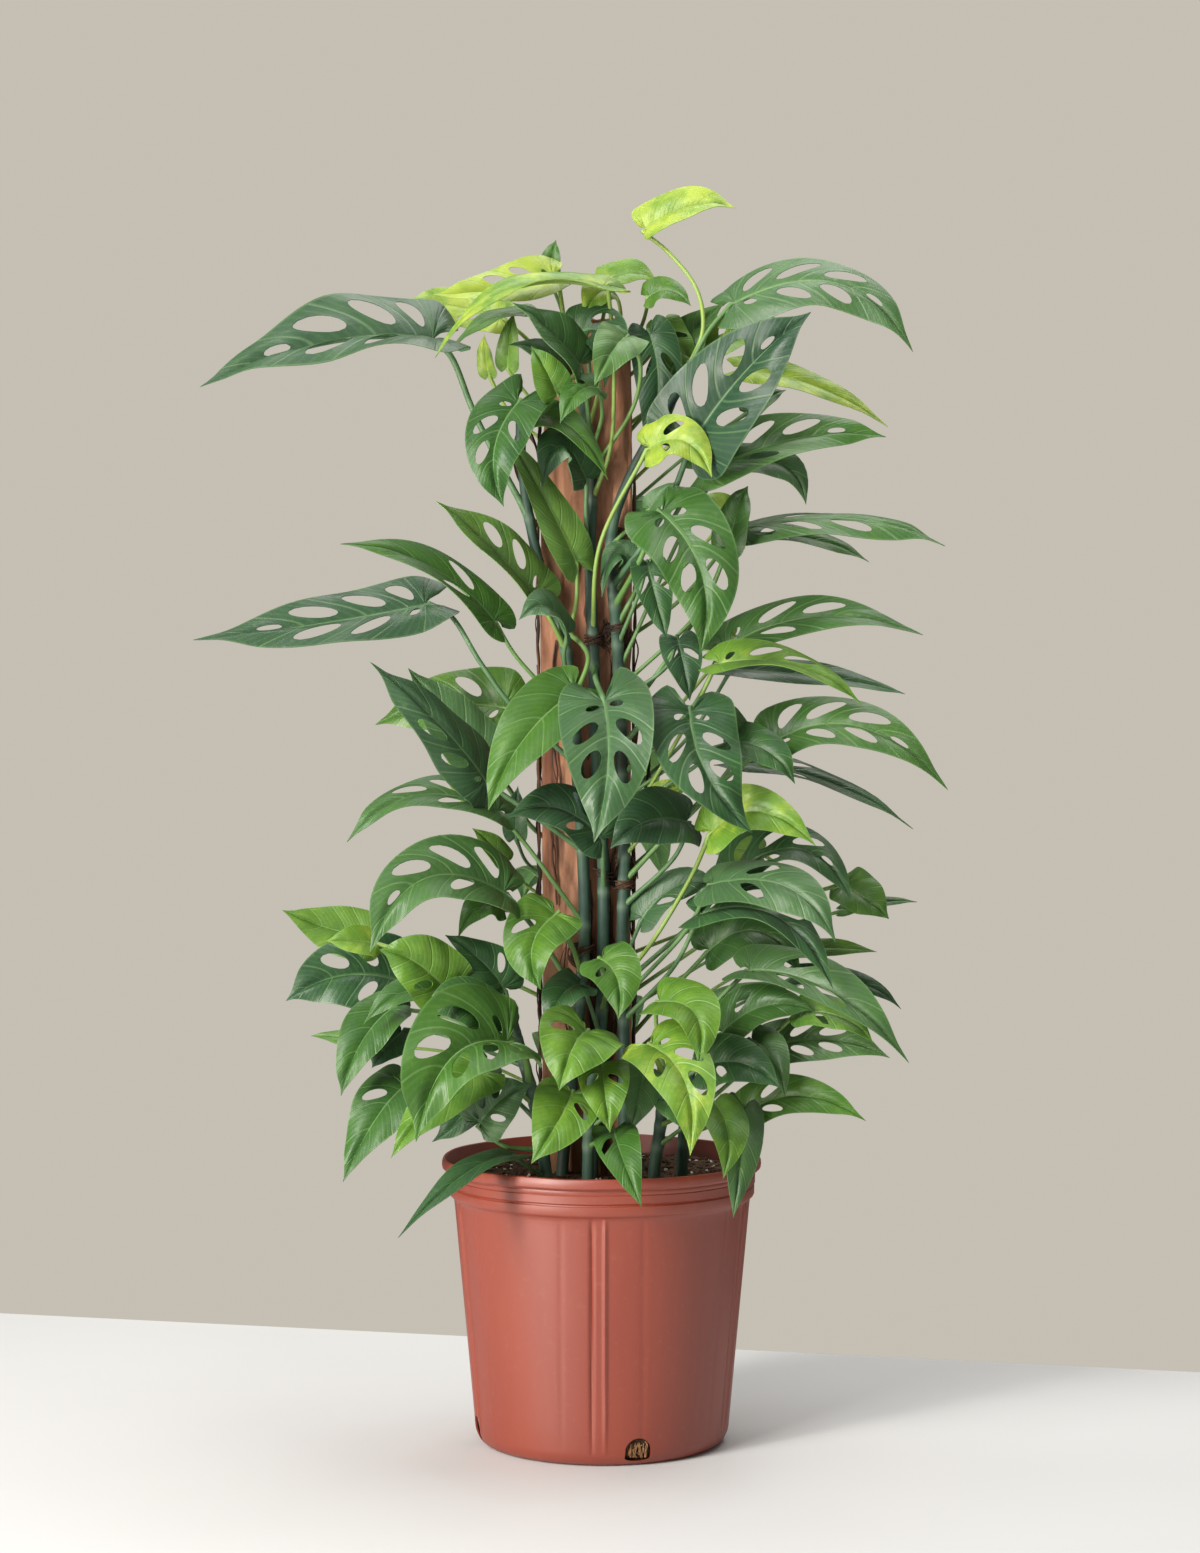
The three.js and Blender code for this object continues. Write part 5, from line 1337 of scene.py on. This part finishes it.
def stalk_tube(fields, blade, stem_path):
    """Places and radii of a stalk and its midrib, from the stem to the blade's tip."""
    radius = (stalk_least + fields["wide"] / stalk_wide_part) / 1000
    point, ahead, _, _ = blade.frame_at(np.array([0.0]))
    knee = point[0] - ahead[0] * (knee_off + radius)
    via = [at_place(spot) for spot in fields["via"]]
    stalk = smooth_path([at_row(stem_path, fields["row"]), *via, knee], stalk_step)
    long = np.linalg.norm(np.diff(stalk, axis=0), axis=1).sum()
    run = np.linspace(0, 1, len(stalk)) * long
    sheath = sheath_more * np.exp(-run / sheath_long)
    stalk_radius = radius * (stalk_share + sheath + knee_more * bell(long - run, knee_long))
    along = np.linspace(0.0, rib_end, max(8, round(blade.length / rib_step)))
    rib_at, _, rib_out, _ = blade.frame_at(along)
    rib_radius = radius * (rib_start * (1 - along) ** rib_taper + rib_tip)
    rib = rib_at - rib_out * (rib_sunk * rib_radius)[:, None]
    return np.vstack([stalk, rib]), np.concatenate([stalk_radius, rib_radius])


# %% The helper for a whole vine
blade_thick, blade_weld = 0.0006, 0.00002
node_wide, node_high = 0.0035, 0.10
stem_uneven, stem_bumps = 0.04, 60
stem_end, stem_taper, stem_taper_from = 0.72, 0.25, 3.2


def vine_piece(name, vine, seed):
    """One vine: its blades, stalks and stem in one mesh with four finishes."""
    draw = random.Random(seed)
    stem_path = smooth_path([place(p) for p in vine["stem"]], stem_step)
    places, marks, faces, tones, tube_paths, tube_tones = [], [], [], [], [], []
    for fields in vine["leaves"]:
        blade = Blade(fields)
        corners, marks_here, faces_here = blade_corners(fields, blade, draw)
        start = sum(len(p) for p in places)
        places.append(corners)
        marks.append(marks_here)
        faces += [tuple(i + start for i in face) for face in faces_here]
        tones.append(np.tile((fields["tint"], fields["grey"], draw.random(), 1), (len(corners), 1)))
        path, radii = stalk_tube(fields, blade, stem_path)
        tube_paths.append((path, radii))
        tube_tones.append(np.tile((fields["tint"], fields["grey"], 0.5, 1), (len(path), 1)))
    piece = piece_of(name, np.vstack(places).tolist(), faces)
    layer = piece.data.uv_layers.new(name="veins")
    corner_of = np.empty(len(piece.data.loops), int)
    piece.data.loops.foreach_get("vertex_index", corner_of)
    layer.data.foreach_set("uv", np.vstack(marks)[corner_of].ravel())
    set_tone(piece, np.vstack(tones))
    edit(piece)
    bpy.ops.mesh.select_all(action="SELECT")
    bpy.ops.mesh.remove_doubles(threshold=blade_weld)
    bpy.ops.mesh.select_all(action="DESELECT")
    leave_edit()
    use_finish(piece, leaf_upper, leaf_under)
    apply_modifier(
        piece, "SOLIDIFY", thickness=blade_thick, offset=0, material_offset=1, material_offset_rim=0,
    )
    stalks = tubes(name + "_stalks", tube_paths, 2)
    set_tone(stalks, np.vstack(tube_tones))
    use_finish(stalks, stalk_finish)
    rings = np.zeros(len(stem_path))
    for fields in vine["leaves"]:
        away = np.linalg.norm(stem_path - at_row(stem_path, fields["row"]), axis=1)
        rings = np.maximum(rings, bell(away, node_wide))
    bumps = np.array([noise_at(*(p * stem_bumps)) for p in stem_path])
    thin = np.clip(np.linspace(stem_taper_from, 0, len(stem_path)), 0, 1) * stem_taper + stem_end
    stem_radii = stem_radius * (thin + node_high * rings + stem_uneven * bumps)
    stem = tubes(name + "_stem", [(stem_path, stem_radii)], 4)
    set_tone(stem, np.column_stack([rings, rings, rings, np.ones(len(rings))]))
    use_finish(stem, stem_finish)
    pick(piece, stalks, stem)
    bpy.ops.object.join()
    smooth(piece, 50)
    return piece


print("stem", round(2000 * stem_radius, 1), "mm wide, blade", 1000 * blade_thick, "mm thick")

# %% [markdown]
# ## Leaf finishes
# The upper side is a thin green skin with a soft gloss. Its colour goes from the leaf's own tint to
# a paler green at the veins and the margin, with mottling. The underside is paler and duller. An
# image of one leaf on every blade would repeat its marks. Here each leaf's tint is written on its
# corners, and the veins come from the grid's numbers, one side vein at every whole number, so that
# they bend with the blade.

# %% Greens
def tone_parts(tree):
    """The tint, the greyness, which is partly a painted sheen, and the leaf's own number."""
    tone = add_node(tree, "ShaderNodeAttribute", {}, attribute_name="tone").outputs["Color"]
    parts = add_node(tree, "ShaderNodeSeparateColor", {"Color": tone}).outputs
    return parts[0], parts[1], parts[2]


def vein_parts(tree):
    """How near a corner is to any vein, and to the margin: each 1 on it and 0 off it."""
    marks = add_node(tree, "ShaderNodeUVMap", {}, uv_map="veins").outputs["UV"]
    apart = add_node(tree, "ShaderNodeSeparateXYZ", {"Vector": marks}).outputs
    share = arithmetic(tree, "ABSOLUTE", apart["Y"])
    side = arithmetic(tree, "PINGPONG", apart["X"], 0.5)
    side_vein = between(tree, side, 0.01, 0.05, 1, 0)
    minor = arithmetic(tree, "PINGPONG", arithmetic(tree, "MULTIPLY", apart["X"], 5), 0.5)
    minor_vein = between(tree, minor, 0.05, 0.28, 0.22, 0)
    rib = between(tree, share, 0.02, 0.07, 1, 0)
    margin = between(tree, share, 0.955, 0.99, 0, 1)
    veins = arithmetic(tree, "MAXIMUM", side_vein, minor_vein)
    return arithmetic(tree, "MAXIMUM", veins, rib), margin


leaf_greens = [
    (0.0, "25432f"), (0.22, "295028"), (0.45, "365f20"),
    (0.62, "426b20"), (0.80, "618728"), (0.93, "9cb040"),
]


def leaf_colour(tree):
    tint, grey, own = tone_parts(tree)
    mottle = between(tree, speckle(tree, 42, 5, rough=0.6), 0.3, 0.7, -0.10, 0.10)
    own_shift = between(tree, own, 0, 1, -0.05, 0.05)
    shifted = arithmetic(tree, "ADD", arithmetic(tree, "ADD", tint, mottle), own_shift)
    green = ramp(tree, shifted, leaf_greens)
    # Painted sheen: grey mixes in a pale grey-green, partly a paler skin and partly sheen painted on.
    dulled_with_sheen = mixed(tree, arithmetic(tree, "MULTIPLY", grey, 0.5), green, linear("647f5f"))
    veins, margin = vein_parts(tree)
    light = arithmetic(tree, "MULTIPLY", arithmetic(tree, "MAXIMUM", veins, margin), 0.17)
    veined = mixed(tree, light, dulled_with_sheen, linear("93b878"))
    worn = between(tree, speckle(tree, 95, 6, rough=0.7), 0.60, 0.78, 0, 0.22)
    return mixed(tree, worn, veined, linear("86a06a"))


def leaf_gloss(tree):
    return between(tree, speckle(tree, 38, 4), 0.3, 0.7, 0.34, 0.52)


def leaf_relief(tree):
    veins, _ = vein_parts(tree)
    grain = arithmetic(tree, "MULTIPLY", speckle(tree, 170, 5, rough=0.6), 1.5)
    return arithmetic(tree, "SUBTRACT", grain, veins)


leaf_upper = finish(
    "leaf_upper", 0.42, leaf_colour, leaf_gloss, leaf_relief, bump=0.45, bump_deep=0.0007,
    Coat_Weight=0.08, Coat_Roughness=0.25, Specular_IOR_Level=0.38,
)


def under_colour(tree):
    tint, _, _ = tone_parts(tree)
    green = ramp(
        tree, arithmetic(tree, "ADD", tint, between(tree, speckle(tree, 60, 3), 0.3, 0.7, -0.06, 0.06)),
        [(0.0, "45694f"), (0.5, "568246"), (1.0, "a3bb57")],
    )
    veins, _ = vein_parts(tree)
    return mixed(tree, arithmetic(tree, "MULTIPLY", veins, 0.3), green, linear("9cba86"))


leaf_under = finish(
    "leaf_under", 0.6, under_colour, None, leaf_relief, bump=0.4, bump_deep=0.0006,
    Specular_IOR_Level=0.3,
)


def stalk_colour(tree):
    tint, _, _ = tone_parts(tree)
    green = ramp(tree, tint, [(0.0, "466849"), (0.5, "5d8440"), (1.0, "93ab4b")])
    patches = between(tree, speckle(tree, 90, 4), 0.4, 0.75, 0, 0.4)
    return mixed(tree, patches, green, linear("7ea070"))


stalk_finish = finish(
    "leaf_stalk", 0.5, stalk_colour, bump_of=lambda tree: speckle(tree, 300, 3), bump=0.2, bump_deep=0.0004,
)


def stem_colour(tree):
    ring, _, _ = tone_parts(tree)
    grey_green = ramp(
        tree, speckle(tree, 46, 6, stretch=(1, 1, 0.4)),
        [(0.28, "2e2b1e"), (0.38, "233a31"), (0.52, "334f42"), (0.7, "4b6a4e"), (0.85, "768a6c")],
    )
    return mixed(tree, arithmetic(tree, "MULTIPLY", ring, 0.35), grey_green, linear("7d937c"))


stem_finish = finish(
    "vine_stem", 0.62, stem_colour, bump_of=lambda tree: speckle(tree, 150, 5, stretch=(1, 1, 0.4)),
    bump=0.5, bump_deep=0.0008,
)
print("finishes", [m.name for m in bpy.data.materials])

# %% [markdown]
# A vine's blades, stalks and stem grew as one. They could stay separate objects, but one piece for
# each vine moves and is stored as one, and its finishes stay apart on its faces.

# %% The vines' pieces
first_seed = 40
for seed, (name, vine) in enumerate(vines.items()):
    piece = vine_piece("fine_vine_" + name, vine, first_seed + seed)
    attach(piece, "root")
    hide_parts("vine_" + name)
    print(name, len(vine["leaves"]), "leaves,", len(piece.data.polygons), "faces")

# %% [markdown]
# ## The aerial roots
# Thin brown roots leave the stems and hold on to the pole. Some run straight down its two edges,
# some hug its face as dark threads, and a few wind into tangles and free loops at its sides. Every
# root could be drawn by hand. Here the same few routes are run with different draws, each a tube
# with its own wandering path.

# %% The roots' routes
pole_left_edge = [(0.034, -0.051), (0.430, -0.050), (0.700, -0.052), (0.915, -0.050)]
pole_right_edge = [(0.034, 0.025), (0.300, 0.025), (0.520, 0.024), (0.760, 0.0255), (0.925, 0.025)]
left_routes = [
    [(1.7, -7, 229.8), (2.6, 2, 330), (1.1, -6, 430), (2.8, 3, 520), (1.1, -5, 610), (2.4, 2, 700),
     (1.8, -6, 790), (2, 0, 868)],
    [(2.8, 4, 229.8), (1.9, -6, 345), (3, 3, 450), (1.9, -5, 560), (2, 4, 655)],
    [(2.2, -3, 770), (12, -9, 792), (22, -8, 826), (17, -6, 858), (4, -4, 838), (2.2, -3, 815)],
]
right_routes = [
    [(1.7, -6, 229.8), (2.6, 3, 330), (1.8, -5, 440), (3, 2, 540), (1.8, -6, 640), (2.8, 1, 730),
     (1.8, -6, 812)],
    [(2.8, 4, 229.8), (1.9, -5, 350), (2.8, 3, 460), (2, -4, 570)],
    [(2.4, -4, 520), (12, -2, 548), (15, 2, 580), (9, 4, 606), (4, -2, 596), (2.2, -4, 560)],
]
face_depth, thread_nearest, thread_deepest = -12.7, -0.0134, -0.0120
pole_middle = -0.010
root_step, curl_step = 0.004, 0.003
wander_pace, wander_ends, wander_slices = 0.16, 6, (7, 31)
uneven_pace, uneven_share = 0.35, 0.45
root_taper, root_limits = (0.75, 1.1), (0.4, 1.4)
knot_sway, knot_sizes, knot_depths = 0.25, (0.75, 1.1), (-0.0016, 0.0014)


def side_at(edge, z):
    """Where the pole's edge is, across, at a height."""
    return float(np.interp(z, [high_at for high_at, _ in edge], [x for _, x in edge]))


def route_places(route, edge, direction):
    """A route's (off the side, y, z) millimetres as places in metres."""
    return [
        np.array([side_at(edge, z / 1000) + direction * off / 1000, y / 1000, z / 1000])
        for off, y, z in route
    ]


def wander(path, size, draw):
    """Small slow moves of a path aside, which leave its ends alone."""
    seed = draw.uniform(0, 50)
    steps = np.arange(len(path))
    moves = np.array([
        (noise_at(seed, at, 0), *[noise_at(seed, other, at) for other in wander_slices])
        for at in steps * wander_pace
    ])
    fade = np.clip(np.minimum(steps, steps[::-1]) / wander_ends, 0, 1)[:, None]
    return path + moves * fade * size


def root_radii(path, radius, draw):
    """Uneven radii round this one, a little thicker toward the path's end."""
    seed = draw.uniform(0, 50)
    uneven = np.array([noise_at(seed, i * uneven_pace, 3) for i in range(len(path))])
    return radius * np.clip(np.linspace(*root_taper, len(path)) + uneven_share * uneven, *root_limits)


def knot(middle, across, high, turns, draw):
    """A strand that winds round a place on the pole's face."""
    places = []
    steps = max(8, turns * 9)
    for i in range(steps):
        round_at = 2 * math.pi * turns * i / steps + draw.uniform(-knot_sway, knot_sway)
        size = draw.uniform(*knot_sizes)
        places.append(middle + np.array([
            across * size * math.cos(round_at),
            draw.uniform(*knot_depths),
            high * size * math.sin(round_at),
        ]))
    return places


def face_strand(pixels):
    """The path of a thread on the pole's face, from (pixels across, pixels down)."""
    return smooth_path([place((across, down, face_depth)) for across, down in pixels], root_step)


# %% The roots' places on the pole
face_threads = [
    [(590, 880), (593, 940), (590, 1010), (594, 1080), (592, 1160), (596, 1218)],
    [(556, 640), (552, 700), (556, 770), (553, 840), (557, 905)],
    [(604, 620), (612, 690), (606, 760), (614, 830), (610, 900), (618, 975), (612, 1050)],
    [(584, 470), (592, 540), (586, 610), (594, 690), (588, 760)],
    [(618, 905), (628, 980), (621, 1060), (630, 1140), (624, 1210)],
    [(570, 915), (563, 985), (570, 1060), (563, 1130), (568, 1205)],
]
face_knots = [
    ((618, 637), 0.016, 0.011, 3, 7), ((622, 872), 0.013, 0.018, 3, 6), ((582, 958), 0.012, 0.012, 2, 4),
    ((566, 700), 0.008, 0.016, 2, 4), ((612, 1085), 0.013, 0.013, 2, 4), ((571, 560), 0.008, 0.014, 2, 3),
    ((620, 540), 0.009, 0.014, 2, 3), ((590, 800), 0.012, 0.014, 2, 3),
]
stem_coils = [
    ("middle", 642, 2.6, 3), ("right", 628, 2.4, 2), ("left", 702, 1.6, 1), ("middle", 872, 2.6, 2),
    ("right", 886, 3.1, 3), ("middle", 962, 1.7, 1), ("left", 950, 2.2, 2), ("right", 742, 1.6, 1),
]
coil_clear, coil_steps, coil_beat = 0.0004, 14, 1.7
coil_climbs, coil_tilt, coil_loosest = (0.0016, 0.0034), 0.003, 0.0022
print(len(face_threads), "threads,", len(face_knots), "tangles,", len(stem_coils), "coils")

# %% The roots' pieces
main_radius, main_wander, loose_wander = 0.0012, 0.0012, 0.0042
thread_radius, thread_wander, fine_radius, fine_wander = 0.0009, 0.0022, 0.0005, 0.0075
thin_radii, tangle_radii = (0.0005, 0.0008), (0.0005, 0.0009)
tangle_spread, tangle_shares = (0.003, 0.004), (0.5, 1)


def stem_coil(vine, row, turns, draw):
    """A root that winds loosely round a stem at a pixel row, its radius and its place across."""
    middle = at_row(smooth_path([place(p) for p in vine["stem"]], stem_step), row)
    thick = draw.uniform(*thin_radii)
    start, climb = draw.uniform(0, 6.3), draw.uniform(*coil_climbs)
    tilt, loose = draw.uniform(-coil_tilt, coil_tilt), draw.uniform(0.0, coil_loosest)
    steps = round(coil_steps * turns)
    points = []
    for i in range(steps):
        at = start + 2 * math.pi * turns * i / steps
        away = stem_radius + thick + coil_clear + loose * (0.5 + 0.5 * math.sin(coil_beat * at))
        rise = climb * (turns * i / steps - turns / 2) + tilt * math.cos(at)
        points.append(middle + np.array([away * math.cos(at), away * math.sin(at), rise]))
    return smooth_path(points, curl_step), thick, middle[0]


def roots_piece(name, routes, edge, direction, draw):
    """All roots at one side of the pole, and half of those on its face."""
    right = direction > 0
    paths = []
    for route in routes:
        base = smooth_path(route_places(route, edge, direction), root_step)
        paths.append((wander(base, main_wander, draw), root_radii(base, main_radius, draw)))
        for _ in range(2):
            path = wander(base, loose_wander, draw)
            paths.append((path, root_radii(path, draw.uniform(*thin_radii), draw)))
    for i, pixels in enumerate(face_threads):
        if i % 2 == right:
            path = wander(face_strand(pixels), thread_wander, draw)
            paths.append((path, root_radii(path, thread_radius, draw)))
            thin = wander(face_strand(pixels), fine_wander, draw)
            thin[:, 1] = np.clip(thin[:, 1], thread_nearest, thread_deepest)
            paths.append((thin, root_radii(thin, fine_radius, draw)))
    for (across, down), wide, high, turns, count in face_knots:
        middle = place((across, down, face_depth))
        if (middle[0] > pole_middle) != right:
            continue
        for _ in range(count):
            aside, above = [draw.uniform(-spread, spread) for spread in tangle_spread]
            start = middle + np.array([aside, 0, above])
            size = wide * draw.uniform(*tangle_shares), high * draw.uniform(*tangle_shares)
            path = smooth_path(knot(start, *size, turns, draw), curl_step)
            paths.append((path, root_radii(path, draw.uniform(*tangle_radii), draw)))
    for vine_name, row, turns, count in stem_coils:
        for _ in range(count):
            path, thick, across = stem_coil(vines[vine_name], row, turns, draw)
            if (across > pole_middle) == right:
                paths.append((path, root_radii(path, thick, draw)))
    piece = tubes(name, paths, 1)
    use_finish(piece, root_finish)
    smooth(piece, 60)
    return piece


def root_colour(tree):
    return ramp(
        tree, speckle(tree, 60, 5, stretch=(1, 1, 0.4)),
        [(0.25, "1f1510"), (0.45, "382419"), (0.62, "573b28"), (0.8, "86613f")],
    )


root_finish = finish(
    "aerial_root", 0.8, root_colour, bump_of=lambda tree: speckle(tree, 300, 4), bump=0.5, bump_deep=0.0006,
)
root_draw = random.Random(23)
for side, routes, edge, direction in (
    ("left", left_routes, pole_left_edge, -1), ("right", right_routes, pole_right_edge, 1),
):
    roots = roots_piece("fine_roots_" + side, routes, edge, direction, root_draw)
    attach(roots, "root")
    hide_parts("aerial_roots_" + side)
    print("roots", side, len(roots.data.polygons), "faces")

# %% [markdown]
# Pale root ends curl in the arched hole at the front of the foot. A pale patch behind the hole would
# do from afar. Real strands just inside the wall stay right when the pot is seen from another side.

# %% Roots in the front drain hole
strand_count, strand_bends, strand_step = 16, 4, 0.0015
strand_turn, strand_most_turn, strand_sway = 0.075, 0.082, 0.03
strand_away, strand_off = 0.1046, (-0.0008, 0.0010)
strand_heights, strand_radii = (0.0062, 0.0205), (0.0004, 0.0007)


def drain_strands(draw):
    """Pale curled root ends that show in the arched hole at the front."""
    angle, paths = drain_angles[0], []
    for _ in range(strand_count):
        round_at = angle + draw.uniform(-strand_turn, strand_turn)
        points = []
        for _ in range(strand_bends):
            round_at += draw.uniform(-strand_sway, strand_sway)
            round_at = min(max(round_at, angle - strand_most_turn), angle + strand_most_turn)
            away = strand_away + draw.uniform(*strand_off)
            height = draw.uniform(*strand_heights)
            points.append((away * math.sin(round_at), -away * math.cos(round_at), height))
        path = smooth_path(points, strand_step)
        paths.append((path, root_radii(path, draw.uniform(*strand_radii), draw)))
    return paths


drain_roots = tubes("drain_hole_roots", drain_strands(root_draw), 1)
pale_root = finish(
    "pale_root", 0.7,
    lambda tree: ramp(tree, speckle(tree, 160, 4), [(0.3, "4a2d1a"), (0.5, "7d5733"), (0.7, "a57f55")]),
)
use_finish(drain_roots, pale_root)
smooth(drain_roots, 60)
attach(drain_roots, "root")
print("drain hole", len(drain_roots.data.polygons), "faces")
